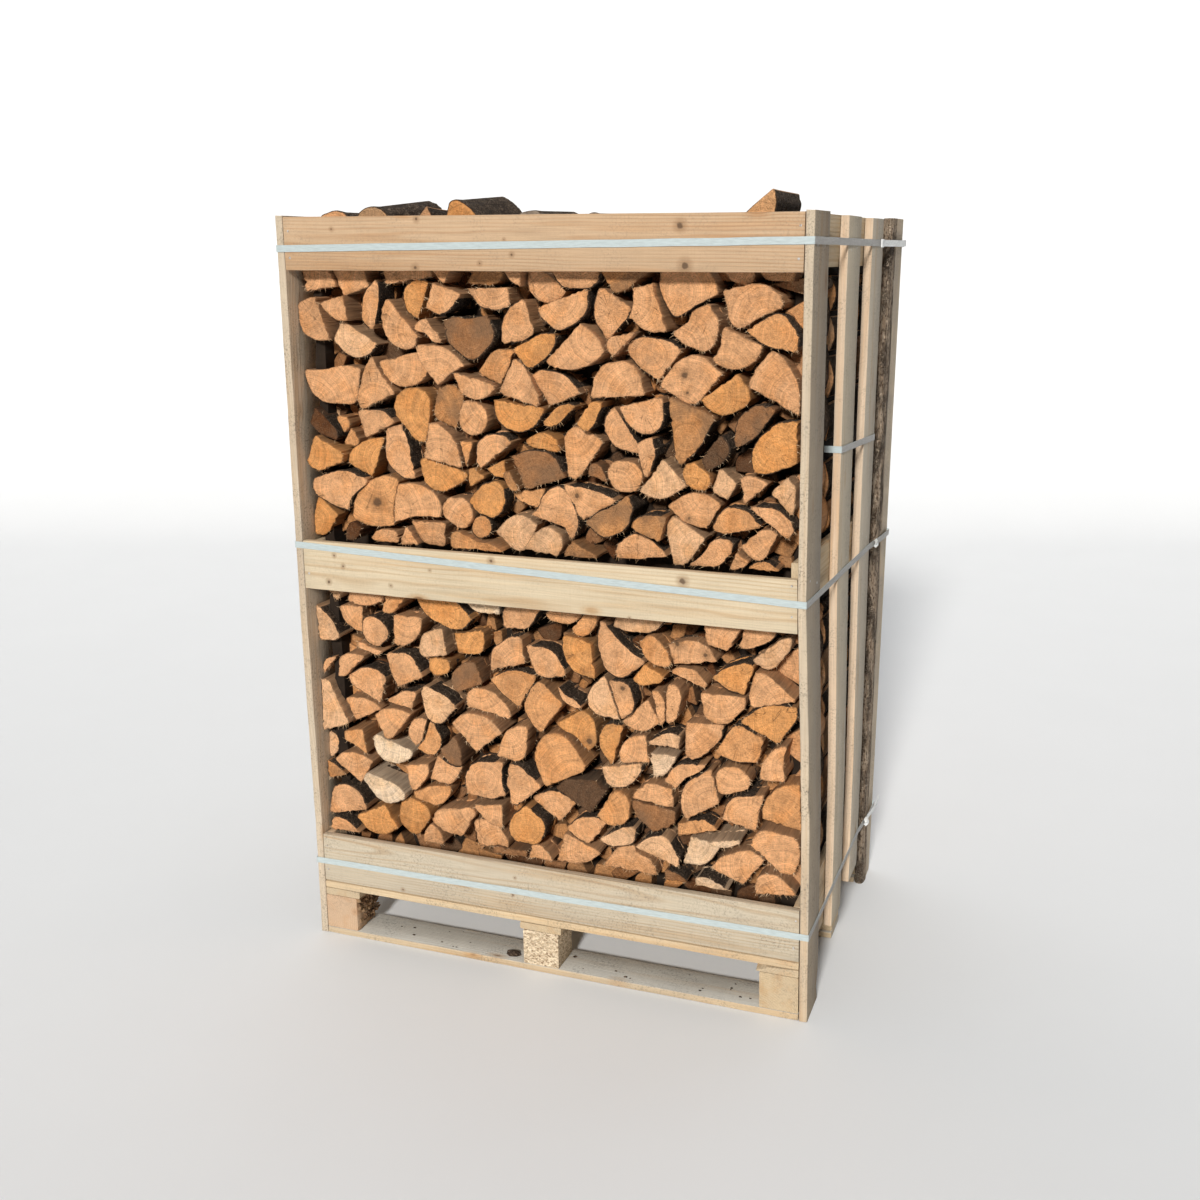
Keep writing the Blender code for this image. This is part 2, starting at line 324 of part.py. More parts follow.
    (909, 391, 915, 422, 931, 440, 947, 446, 989, 451, 983, 422, 974, 374, 951, 379),
    (989, 403, 990, 431, 1003, 458, 1027, 476, 1059, 484, 1064, 437, 1064, 386, 1010, 397),
    (967, 347, 978, 371, 994, 381, 1022, 382, 1053, 373, 1064, 356, 1064, 322, 1055, 296, 1036, 288,
     1023, 305, 997, 319, 981, 335),
    (890, 284, 909, 310, 957, 335, 966, 335, 996, 316, 974, 291, 953, 256, 919, 268),
    (978, 240, 981, 275, 997, 285, 1029, 282, 1046, 268, 1059, 248, 1022, 243),
    (857, 240, 857, 255, 879, 260, 903, 252, 926, 240),
    (946, 240, 953, 249, 973, 254, 966, 240),
)

# Loose logs on top: outline of the front end in millimetres, front y, rear y, rise and widening
LOOSE_LOGS = {
    "loose_log_left": ((52, 1496, 47, 1530, 62, 1547, 97, 1557, 120, 1546, 127, 1512, 108, 1491),
                       0.045, 0.262, 0.000, 1.00),
    "loose_log_bark_left": ((150, 1498, 139, 1530, 146, 1548, 160, 1558, 180, 1562, 201, 1556, 217, 1540,
                             214, 1508, 184, 1491), 0.040, 0.275, 0.010, 1.16),
    "loose_log_small": ((268, 1496, 264, 1519, 299, 1561, 308, 1550, 319, 1516, 309, 1492),
                        0.034, 0.210, 0.000, 0.90),
    "loose_log_bark_middle": ((345, 1498, 334, 1530, 345, 1568, 360, 1573, 382, 1562, 401, 1545,
                               412, 1516, 396, 1491), 0.038, 0.262, 0.008, 1.10),
    "loose_slab_wide": ((474, 1530, 480, 1546, 500, 1551, 520, 1551, 532, 1538, 516, 1527),
                        0.060, 0.262, 0.002, 1.10),
    "loose_slab_short": ((588, 1532, 594, 1545, 608, 1549, 625, 1544, 630, 1533),
                         0.120, 0.290, 0.003, 1.00),
    "loose_log_right": ((905, 1496, 912, 1530, 927, 1548, 972, 1583, 980, 1565, 974, 1530, 960, 1491),
                        0.040, 0.255, 0.000, 1.00),
}


def clear_scene():
    """Start from an empty scene."""
    for item in list(bpy.data.objects):
        bpy.data.objects.remove(item, do_unlink=True)


def make_material(name, colour, roughness, metallic=0.0):
    """A Principled material with the piece's own colour and finish."""
    material = bpy.data.materials.new(name)
    material.use_nodes = True
    shader = material.node_tree.nodes["Principled BSDF"]
    shader.inputs["Base Color"].default_value = (*colour, 1.0)
    shader.inputs["Roughness"].default_value = roughness
    shader.inputs["Metallic"].default_value = metallic
    return material


def add_object(name, shape, material):
    """Turn a bmesh into a named object with its faces pointing out."""
    bmesh.ops.recalc_face_normals(shape, faces=shape.faces)
    mesh = bpy.data.meshes.new(name)
    shape.to_mesh(mesh)
    shape.free()
    mesh.materials.append(material)
    item = bpy.data.objects.new(name, mesh)
    bpy.context.scene.collection.objects.link(item)
    return item


def between(table, height):
    """Straight-line reading of a table of (height, offset) pairs."""
    for (low, first), (high, last) in zip(table, table[1:]):
        if height <= high:
            return first + (last - first) * max(height - low, 0.0) / (high - low)
    return table[-1][1]


def rack(point):
    """Move a point of the square crate to where it is in the leaning one."""
    x, y, z = point
    across = x / WIDTH
    offset = (1.0 - across) * between(LEAN_LEFT, z) + across * between(LEAN_RIGHT, z)
    return Vector((x + offset * (1.0 - y / DEPTH), y, z))


def board(name, x, y, z, material):
    """A sawn board given by its limits, with a ring of corners wherever the lean changes."""
    shape = bmesh.new()
    levels = [z[0], *(h for h in BENDS if z[0] + 0.004 < h < z[1] - 0.004), z[1]]
    rings = []
    for level in levels:
        corners = ((x[0], y[0]), (x[1], y[0]), (x[1], y[1]), (x[0], y[1]))
        rings.append([shape.verts.new(rack((cx, cy, level))) for cx, cy in corners])
    for lower, upper in zip(rings, rings[1:]):
        for i in range(4):
            shape.faces.new((lower[i], lower[(i + 1) % 4], upper[(i + 1) % 4], upper[i]))
    shape.faces.new(rings[0])
    shape.faces.new(rings[-1])
    return add_object(name, shape, material)


def loft_along_y(shape, front, back, y_front, y_back):
    """Join an outline at the front to its partner at the back, with both ends closed."""
    first = [shape.verts.new((x, y_front, z)) for x, z in front]
    last = [shape.verts.new((x, y_back, z)) for x, z in back]
    count = len(first)
    for i in range(count):
        shape.faces.new((first[i], first[(i + 1) % count], last[(i + 1) % count], last[i]))
    shape.faces.new(first)
    shape.faces.new(last)


def pairs(numbers):
    """Millimetre numbers x, z, x, z ... as points in metres."""
    return [(x / 1000.0, z / 1000.0) for x, z in zip(numbers[::2], numbers[1::2])]


def bow(previous, point, following):
    """How far a corner stands off the straight line between its neighbours."""
    ax, az = following[0] - previous[0], following[1] - previous[1]
    bx, bz = point[0] - previous[0], point[1] - previous[1]
    return abs(ax * bz - az * bx) / max(math.hypot(ax, az), 1e-9)


def simplified(points, tolerance):
    """Leave out the corners that hardly bend the outline, keeping at least three."""
    points = list(points)
    while len(points) > 3:
        bows = [bow(points[i - 1], p, points[(i + 1) % len(points)]) for i, p in enumerate(points)]
        flattest = min(range(len(points)), key=bows.__getitem__)
        if bows[flattest] > tolerance:
            break
        points.pop(flattest)
    return points


def area(points):
    """Area inside an outline."""
    return abs(sum(points[i - 1][0] * p[1] - p[0] * points[i - 1][1] for i, p in enumerate(points))) / 2.0


def pallet():
    """Bottom boards, blocks, stringers and deck, which fit between the corner posts."""
    wood = make_material("pallet_wood", (0.62, 0.50, 0.34), 0.80)
    block_wood = make_material("pallet_block_wood", (0.66, 0.50, 0.31), 0.85)
    chip = make_material("pressed_chip_block", (0.64, 0.56, 0.40), 0.90)
    span = (BOARD + 2 * GAP, WIDTH - BOARD - 2 * GAP)
    rows = (("front", BLOCK[1] / 2), ("middle", MIDDLE_ROW_Y), ("back", DEPTH - BLOCK[1] / 2))
    board_rows = (("front", BOTTOM_BOARD[0] / 2), ("middle", MIDDLE_ROW_Y),
                  ("back", DEPTH - BOTTOM_BOARD[0] / 2))
    for row, y in board_rows:
        board(f"pallet_bottom_board_{row}", span, (y - BOTTOM_BOARD[0] / 2, y + BOTTOM_BOARD[0] / 2),
              (0.0, BOTTOM_BOARD[1]), wood)
    block_z = (BOTTOM_BOARD[1] + GAP, BOTTOM_BOARD[1] + GAP + BLOCK[2])
    stringer_z = (block_z[1] + GAP, block_z[1] + GAP + STRINGER[1])
    deck_z = (stringer_z[1] + GAP, stringer_z[1] + GAP + DECK_BOARD[1])
    for side, x in zip(("left", "middle", "right"), SIDE_BLOCK_X):
        low, high = max(x - BLOCK[0] / 2, span[0]), min(x + BLOCK[0] / 2, span[1])
        for row, y in rows:
            material = chip if side == "middle" else block_wood
            board(f"pallet_block_{row}_{side}", (low, high), (y - BLOCK[1] / 2, y + BLOCK[1] / 2),
                  block_z, material)
        start = max(min(low, span[1] - STRINGER[0]), span[0])
        board(f"pallet_stringer_{side}", (start, start + STRINGER[0]), (0.0, DEPTH), stringer_z, wood)
    pitch = (DEPTH - DECK_BOARD[0]) / (DECK_BOARDS - 1)
    for i in range(DECK_BOARDS):
        board(f"pallet_deck_board_{i + 1}", span, (i * pitch, i * pitch + DECK_BOARD[0]), deck_z, wood)


def uprights():
    """Corner posts and the slats between them, all outside the side boards."""
    wood = make_material("slat_wood", (0.66, 0.55, 0.38), 0.78)
    bark = make_material("bark_edged_slab", (0.34, 0.27, 0.19), 0.92)
    faces = {"left": (0.0, BOARD), "right": (WIDTH - BOARD, WIDTH)}
    for side, x in faces.items():
        board(f"corner_post_front_{side}", x, (0.0, POST_WIDTH), (0.0, HEIGHT), wood)
        for i, (y, foot) in enumerate(zip(SLAT_Y, SLAT_FOOT[side])):
            board(f"side_slat_{side}_{i + 1}", x, (y, y + SLAT_WIDTH), (foot, HEIGHT - 0.003), wood)
    board("corner_post_back_left", faces["left"], (DEPTH - POST_WIDTH, DEPTH), (0.0, HEIGHT), wood)
    back_slab(bark)


def back_slab(material):
    """Right back post: a rough slab with bark on its rounded front edge, wavering in width."""
    rng = random.Random(7)
    shape = bmesh.new()
    inner, outer = WIDTH - BOARD, WIDTH - BOARD + BACK_SLAB
    rings = []
    steps = 9
    for i in range(steps + 1):
        level = HEIGHT * i / steps
        wave = rng.uniform(-0.006, 0.004)
        front = DEPTH - POST_WIDTH + wave
        if i == 0:
            front += 0.018
        section = ((inner, front), (outer - 0.008, front - 0.004), (outer - 0.002, front + 0.012),
                   (outer, front + 0.034), (outer, DEPTH), (inner, DEPTH))
        rings.append([shape.verts.new(rack((x, y, level))) for x, y in section])
    for lower, upper in zip(rings, rings[1:]):
        for k in range(6):
            shape.faces.new((lower[k], lower[(k + 1) % 6], upper[(k + 1) % 6], upper[k]))
    shape.faces.new(rings[0])
    shape.faces.new(rings[-1])
    return add_object("corner_post_back_right", shape, material)


def rails():
    """Horizontal boards: front and back ones between the posts, side ones behind the uprights."""
    wood = make_material("rail_wood", (0.70, 0.58, 0.41), 0.75)
    across = (BOARD + 2 * GAP, WIDTH - BOARD - 2 * GAP)
    levels = {"lower": LOWER_RAIL, "middle": MIDDLE_RAIL, "top": TOP_RAIL}
    for level, z in levels.items():
        board(f"front_board_{level}", across, (0.0, BOARD), z, wood)
        board(f"back_board_{level}", across, (DEPTH - BOARD, DEPTH), z, wood)
    along = (BOARD + GAP, DEPTH - BOARD - GAP)
    inside = {"left": (BOARD + 0.0008, 2 * BOARD), "right": (WIDTH - 2 * BOARD, WIDTH - BOARD - 0.0008)}
    for side, x in inside.items():
        heights = {"lower": LOWER_RAIL, "middle": SIDE_MIDDLE_RAIL[side], "top": SIDE_TOP_RAIL}
        for level, z in heights.items():
            board(f"side_board_{side}_{level}", x, along, z, wood)


def band(name, path, material, closed, width=STRAP[0], thickness=STRAP[1]):
    """A flat band standing on edge along a path; the path runs anticlockwise seen from above."""
    shape = bmesh.new()
    count = len(path)
    rings = []
    for i, point in enumerate(path):
        before = path[i - 1] if closed or i > 0 else path[i]
        after = path[(i + 1) % count] if closed or i < count - 1 else path[i]
        normals = []
        for a, b in ((before, point), (point, after)):
            step = Vector((b[0] - a[0], b[1] - a[1]))
            if step.length > 1e-9:
                step.normalize()
                normals.append(Vector((step.y, -step.x)))
        first, last = normals[0], normals[-1]
        out = (first + last) / (1.0 + first.dot(last)) * thickness
        x, y, z = point
        ring = []
        for dx, dy, dz in ((0, 0, -1), (out.x, out.y, -1), (out.x, out.y, 1), (0, 0, 1)):
            ring.append(shape.verts.new(rack((x + dx, y + dy, z + dz * width / 2))))
        rings.append(ring)
    spans = zip(rings, rings[1:] + rings[:1]) if closed else zip(rings, rings[1:])
    for near, far in spans:
        for k in range(4):
            shape.faces.new((near[k], near[(k + 1) % 4], far[(k + 1) % 4], far[k]))
    if not closed:
        shape.faces.new(rings[0])
        shape.faces.new(rings[-1])
    return add_object(name, shape, material)


def straps():
    """Three straps round the crate, their seals and free ends, and a short tie on each side."""
    plastic = make_material("strap_plastic", (0.62, 0.70, 0.72), 0.35)
    slab_face = WIDTH - BOARD + BACK_SLAB + 0.0008
    slat_end = SLAT_Y[1] + SLAT_WIDTH
    for name, heights in (("top", TOP_STRAP), ("middle", MIDDLE_STRAP), ("lower", LOWER_STRAP)):
        front_left, front_right, back_right, back_left = heights
        slope = (back_right - front_right) / DEPTH
        path = [(-GAP, -GAP, front_left), (WIDTH + GAP, -GAP, front_right),
                (WIDTH + GAP, slat_end, front_right + slope * slat_end),
                (slab_face, DEPTH - POST_WIDTH + 0.030, front_right + slope * (DEPTH - POST_WIDTH)),
                (slab_face, DEPTH + GAP, back_right), (-GAP, DEPTH + GAP, back_left)]
        band(f"strap_{name}", path, plastic, closed=True)
    seal = WIDTH + 2 * GAP + STRAP[1]
    board("strap_seal_top", (seal, seal + 0.0022), (0.528, 0.550), (1.4835, 1.5025), plastic)
    board("strap_seal_middle", (seal + 0.0042, seal + 0.0075), (0.584, 0.604), (0.838, 0.862), plastic)
    board("strap_knot_lower", (seal + 0.0062, seal + 0.0105), (0.604, 0.622), (0.166, 0.190), plastic)
    bulge = slab_face + STRAP[1] + 0.0008
    band("strap_end_top", [(seal + 0.0012, 0.5520, 1.4935), (bulge + 0.0005, 0.640, 1.4935),
                           (bulge + 0.0030, 0.700, 1.4935), (bulge + 0.0025, 0.737, 1.4945)],
         plastic, closed=False)
    band("strap_end_lower", [(bulge + 0.0022, 0.6235, 0.186), (bulge + 0.0080, 0.660, 0.190),
                             (bulge + 0.0105, 0.705, 0.193), (bulge + 0.0090, 0.735, 0.194)],
         plastic, closed=False, width=0.0095, thickness=0.0016)
    near, far = SLAT_Y[0] - GAP, slat_end + GAP
    inward = 2 * BOARD - 0.0008
    right = [(WIDTH - inward, near, TIE_HEIGHT[0]), (WIDTH + GAP, near, TIE_HEIGHT[0]),
             (WIDTH + GAP, far, TIE_HEIGHT[1]), (WIDTH - inward, far, TIE_HEIGHT[1])]
    left = [(inward, far, TIE_HEIGHT[1]), (-GAP, far, TIE_HEIGHT[1]),
            (-GAP, near, TIE_HEIGHT[0]), (inward, near, TIE_HEIGHT[0])]
    band("cross_tie_right", right, plastic, closed=False)
    band("cross_tie_left", left, plastic, closed=False)


def fitted(points, side):
    """Keep a log end inside the opening between the two corner posts of its side of the crate."""
    kept = []
    for x, z in points:
        if side == "front":
            low = rack((BOARD, POST_WIDTH, z)).x + 0.0010
            high = rack((WIDTH - BOARD, 0.0, z)).x - 0.0010
        else:
            low, high = 2 * BOARD + 0.0015, WIDTH - 2 * BOARD - 0.0015
        kept.append((min(max(x, low), high), z))
    return kept


def log_ends(side):
    """Outlines of the log ends of one side; the hidden back repeats the front, turned round."""
    if side == "front":
        outlines = [pairs(numbers) for numbers in UPPER_BAY + LOWER_BAY]
    else:
        swap = MIDDLE_RAIL[1] - LOWER_RAIL[1]
        outlines = [[(WIDTH - x, z + swap - 0.006) for x, z in pairs(numbers)] for numbers in LOWER_BAY]
        outlines += [[(WIDTH - x, z - swap + 0.001) for x, z in pairs(numbers)] for numbers in UPPER_BAY]
    ends = [fitted(simplified(points, LOG_TOLERANCE[side]), side) for points in outlines]
    smallest = 0.0004 if side == "front" else 0.0016
    return [points for points in ends if area(points) > smallest]


def log_edges(rng, start, end):
    """Where one log stops and the next begins, along a side or the top of the stack."""
    edges = [start]
    while end - edges[-1] > 1.6 * LOG_SIZE[0]:
        edges.append(min(edges[-1] + rng.uniform(*LOG_SIZE), end))
    if end - edges[-1] > 0.3 * LOG_SIZE[0]:
        edges.append(end)
    else:
        edges[-1] = end
    return list(zip(edges, edges[1:]))


def side_outline(rng):
    """One side of a row going up: distance from the corner post's outer face, and height."""
    inner = 2 * BOARD + 0.0012
    points = [(inner, LOWER_RAIL[0])]
    for low, high in SIDE_BAYS:
        points += [(inner, height) for height in BENDS if points[-1][1] < height < low]
        for start, end in log_edges(rng, low, high):
            outer, third = inner - rng.uniform(0.007, 0.0165), (end - start) / 3
            points += [(inner, start + 0.003), (outer, start + third), (outer + 0.001, end - third),
                       (inner, end - 0.003)]
    return points + [(inner, ROW_TOP - 0.030)]


def row_outline(seed):
    """Cross-section of a row of logs: logs showing at both sides and along the top."""
    rng = random.Random(seed)
    right = [(WIDTH - x, z) for x, z in side_outline(rng)]
    left = side_outline(rng)
    top = []
    for start, end in log_edges(rng, left[-1][0] + 0.004, right[-1][0] - 0.004):
        crest, third = ROW_TOP - rng.uniform(0.0, 0.012), (end - start) / 3
        top += [(start + 0.002, crest - 0.022), (start + third, crest), (end - third, crest - 0.002)]
    return right + top[::-1] + left[::-1]


def firewood_row(name, y_front, y_back, seed, material, side=None):
    """One row of logs as a solid; an outer row has the ends of its logs standing proud of it."""
    shape = bmesh.new()
    outline = row_outline(seed)
    front = [rack((x, y_front, z)) for x, z in outline]
    back = [rack((x, y_back, z)) for x, z in outline]
    loft_along_y(shape, [(p.x, p.z) for p in front], [(p.x, p.z) for p in back], y_front, y_back)
    row = add_object(name, shape, material)
    if side is None:
        return row
    rng = random.Random(seed + 1)
    ends = bmesh.new()
    for points in log_ends(side):
        proud = rng.uniform(*PROUD_ENDS)
        root = ROW_ENDS[0] + 0.012
        if side == "back":
            proud, root = DEPTH - proud, DEPTH - root
        loft_along_y(ends, points, points, proud, root)
    helper = add_object(f"{name}_ends", ends, material)
    helper.hide_render = True
    helper.display_type = 'WIRE'
    join = row.modifiers.new("Join the log ends", 'BOOLEAN')
    join.operation = 'UNION'
    join.solver = 'EXACT'
    join.use_self = True
    join.object = helper
    return row


def firewood():
    """Three rows of logs, one behind the other, and the loose logs lying on top of them."""
    split = make_material("split_log_wood", (0.64, 0.37, 0.17), 0.85)
    bark = make_material("log_bark", (0.16, 0.12, 0.09), 0.95)
    start, first, second, end = ROW_ENDS
    firewood_row("firewood_row_front", start, first, 11, split, "front")
    firewood_row("firewood_row_middle", first + 0.0006, second, 23, split)
    firewood_row("firewood_row_back", second + 0.0006, end, 37, split, "back")
    for name, (numbers, y_front, y_back, rise, widening) in LOOSE_LOGS.items():
        front = pairs(numbers)
        foot = min(z for _, z in front)
        middle = sum(x for x, _ in front) / len(front)
        back = [(middle + (x - middle) * widening, foot + (z - foot) * widening + rise) for x, z in front]
        shape = bmesh.new()
        loft_along_y(shape, front, back, y_front, y_back)
        add_object(name, shape, bark if "bark" in name else split)


def centre_on_origin():
    """Bring the middle of the whole object over the origin."""
    depsgraph = bpy.context.evaluated_depsgraph_get()
    solids = [item for item in bpy.data.objects if not item.hide_render]
    low, high = [1e9, 1e9], [-1e9, -1e9]
    for item in solids:
        evaluated = item.evaluated_get(depsgraph)
        for vertex in evaluated.data.vertices:
            for axis in (0, 1):
                low[axis] = min(low[axis], vertex.co[axis])
                high[axis] = max(high[axis], vertex.co[axis])
    middle = Vector(((low[0] + high[0]) / 2, (low[1] + high[1]) / 2, 0.0))
    for item in bpy.data.objects:
        item.location = -middle
    return middle


def main():
    clear_scene()
    pallet()
    uprights()
    rails()
    straps()
    firewood()
    centre_on_origin()


main()
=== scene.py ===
"""Looks of the crate of firewood: sawn boards, split logs, bark, straps, nails and the stage around it."""

import math
import random

import bpy
import numpy as np
from bpy.props import FloatProperty, FloatVectorProperty, IntProperty, PointerProperty
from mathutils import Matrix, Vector, noise


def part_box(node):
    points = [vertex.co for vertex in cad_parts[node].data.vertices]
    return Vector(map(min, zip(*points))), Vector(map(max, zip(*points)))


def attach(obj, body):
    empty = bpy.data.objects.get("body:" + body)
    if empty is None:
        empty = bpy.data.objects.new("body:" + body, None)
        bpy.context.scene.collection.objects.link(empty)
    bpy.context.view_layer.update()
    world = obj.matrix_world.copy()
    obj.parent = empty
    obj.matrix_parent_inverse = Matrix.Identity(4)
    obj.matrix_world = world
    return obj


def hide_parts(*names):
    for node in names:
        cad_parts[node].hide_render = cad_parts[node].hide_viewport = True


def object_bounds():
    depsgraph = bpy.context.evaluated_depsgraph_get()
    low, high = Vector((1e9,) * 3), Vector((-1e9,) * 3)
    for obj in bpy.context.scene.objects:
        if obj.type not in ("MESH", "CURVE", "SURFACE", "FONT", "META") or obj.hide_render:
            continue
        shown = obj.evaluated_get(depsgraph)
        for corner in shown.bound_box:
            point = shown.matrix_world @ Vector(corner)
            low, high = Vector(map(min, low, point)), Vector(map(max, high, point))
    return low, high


bl_info = {
    "name": "Crate of Firewood",
    "version": (1, 0, 0),
    "blender": (4, 5, 0),
    "location": "3D View > Sidebar > Firewood",
    "description": "Dresses a strapped pallet crate of split logs",
    "category": "Add Mesh",
}

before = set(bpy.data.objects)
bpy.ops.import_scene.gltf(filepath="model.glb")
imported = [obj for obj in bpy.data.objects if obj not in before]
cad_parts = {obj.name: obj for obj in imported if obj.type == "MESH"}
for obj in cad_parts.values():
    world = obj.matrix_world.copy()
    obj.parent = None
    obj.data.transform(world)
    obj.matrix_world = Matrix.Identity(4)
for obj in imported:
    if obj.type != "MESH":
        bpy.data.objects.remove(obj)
CAD_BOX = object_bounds()

# The square crate before it leans, in metres: x from the left post's face, y from the front, z up
WIDTH, DEPTH, HEIGHT = 1.100, 0.738, 1.545
BOARD = 0.0175
CENTRE = (0.55226, 0.369)                  # the crate's middle, measured from its front left foot
LEAN_LEFT = ((0.00, 0.0000), (0.25, -0.0010), (0.74, -0.0100), (0.90, -0.0105), (1.43, -0.0145),
             (1.60, -0.0165))
LEAN_RIGHT = ((0.00, 0.0000), (0.20, -0.0050), (0.41, -0.0105), (0.62, -0.0210), (0.85, -0.0340),
              (1.15, -0.0395), (1.43, -0.0440), (1.60, -0.0445))

# Rows of logs, and how logs show at the sides and on top
ROW_ENDS = (0.085, 0.2600, 0.4780, 0.653)
ROW_TOP = 1.4885
LOG_SIZE = (0.062, 0.100)
SIDE_BAYS = ((0.2405, 0.789), (0.930, 1.080), (1.112, 1.436))
ROW_SEEDS = {"firewood_row_front": 11, "firewood_row_middle": 23, "firewood_row_back": 37}
STACK_INNER = 2 * BOARD + 0.0012
BAY_HEIGHTS = ((0.200, 0.792), (0.905, 1.440))
BAY_PARTING = 0.85

# Dark bodies inside the stack: low corner, high corner, and how many parts along each way
LUMPS = (((0.054, 0.128, 0.135), (WIDTH - 0.054, 0.640, 1.460), (22, 10, 26)),
         ((0.0385, 0.060, 0.135), (0.060, 0.662, 1.460), (3, 12, 26)),
         ((WIDTH - 0.060, 0.110, 0.135), (WIDTH - 0.043, 0.662, 1.460), (3, 12, 26)))

# Pallet: middles of its three columns, and widths of what stands in them
COLUMNS = {"left": 0.0555, "middle": 0.533, "right": 1.0425}
PALLET_ROWS = ("front", "middle", "back")
STRINGER_WIDTH, BLOCK_WIDTH = 0.093, 0.080

# Straps: heights at the front left, front right, back right and back left corners
LOOPS = {"top": (1.4815, 1.4940, 1.4930, 1.4860), "middle": (0.8855, 0.8487, 0.8500, 0.8700),
         "lower": (0.1740, 0.1836, 0.1740, 0.1730)}
STRAP_WIDTH, STRAP_THICK = 0.0133, 0.0008
STRAP_OFF = 0.0008
SLAB_FACE = WIDTH - BOARD + 0.0248
SLAT_EDGES = (0.2497, 0.5578)

# Where nails sit, as shares of a board's height
NAIL_SHARES = {"lower": (0.27, 0.78), "middle": (0.34, 0.86), "top": (0.22, 0.75)}
LEVELS = ("lower", "middle", "top")

# Colours of the wood, as a share of the light that each sends back
TAN, LIGHT, WARM = (0.729, 0.384, 0.186), (0.766, 0.455, 0.250), (0.687, 0.335, 0.138)
ORANGE, PALE, WHITE = (0.687, 0.318, 0.108), (0.780, 0.540, 0.345), (0.810, 0.610, 0.420)
DIM, BROWN = (0.530, 0.254, 0.100), (0.320, 0.150, 0.063)
DARK, SOOTY = (0.110, 0.040, 0.012), (0.115, 0.058, 0.028)

# Log ends of another colour than most in the front: colour, then the middle of each in millimetres
MARKED_ENDS = (
    (ORANGE, ((261, 1387), (256, 1171), (522, 1295), (479, 1161), (632, 1172), (565, 1171), (900, 1212),
              (985, 1125), (45, 1061), (135, 1074), (310, 1040), (30, 931), (432, 1059), (532, 1121),
              (386, 1041), (416, 1000), (845, 1069), (316, 744), (287, 631), (359, 692), (605, 539),
              (611, 692), (754, 664), (669, 522), (925, 683), (997, 605), (128, 267), (215, 287),
              (489, 312))),
    (WARM, ((430, 1264), (982, 1334), (93, 1137), (103, 1103), (164, 974), (371, 1094), (503, 1006),
            (393, 939), (385, 912), (921, 990), (976, 904), (192, 764), (455, 616), (515, 571),
            (619, 759), (761, 717), (732, 632), (939, 553), (88, 453), (266, 471), (265, 347), (563, 475),
            (682, 371), (855, 363), (1026, 434))),
    (LIGHT, ((117, 1302), (538, 926), (779, 1050), (806, 943), (894, 1053), (1014, 1045), (272, 684),
             (287, 550), (727, 768), (654, 604), (784, 534), (999, 733), (24, 429), (693, 445),
             (36, 704), (33, 533), (50, 778),
             (695, 316), (776, 299), (470, 936))),
    (PALE, ((783, 485), (858, 304), (914, 337), (884, 249))),
    (WHITE, ((397, 772), (168, 432), (154, 350))),
    (DIM, ((407, 1425), (328, 1176), (689, 1424), (826, 1142), (465, 1039), (681, 977), (747, 973),
           (602, 908), (28, 371))),
    (BROWN, ((382, 1319), (947, 1172), (526, 1073), (640, 1067), (353, 622), (321, 450), (447, 246),
             (763, 361), (810, 248))),
    (DARK, ((48, 1132), (108, 916))),
    (SOOTY, ((883, 1113), (618, 409))),
)

# Knots that show from the front, in millimetres as seen: x, z, size
END_KNOTS = ((815, 1255, 10), (820, 1222, 5.5), (605, 1019, 8), (825, 986, 5.5), (165, 978, 15),
             (806, 735, 8), (863, 719, 7), (698, 637, 8), (625, 514, 10))
BOARD_KNOTS = ((110, 1518, 3.5), (295, 1535, 5), (290, 1446, 6), (425, 1454, 3.5), (490, 1470, 4),
               (475, 1497, 2.5), (815, 1520, 9), (825, 1451, 10), (80, 868, 4), (100, 847, 4),
               (65, 811, 5), (210, 815, 3.5), (300, 854, 2.5), (435, 884, 6), (830, 875, 9),
               (725, 794, 2.5), (210, 136, 3.5), (475, 208, 3), (470, 168, 3))


def between(table, height):
    """Straight-line reading of a table of heights and offsets."""
    return float(np.interp(height, [row[0] for row in table], [row[1] for row in table]))


def lean(x, z):
    """Sideways offset of the front of the crate at a height."""
    across = x / WIDTH
    return (1.0 - across) * between(LEAN_LEFT, z) + across * between(LEAN_RIGHT, z)


def placed(x, y, z):
    """A point of the square crate where it stands in the leaning one, centred over the origin."""
    return (x + lean(x, z) * (1.0 - y / DEPTH) - CENTRE[0], y - CENTRE[1], z)


def looks():
    return bpy.context.scene.firewood_crate


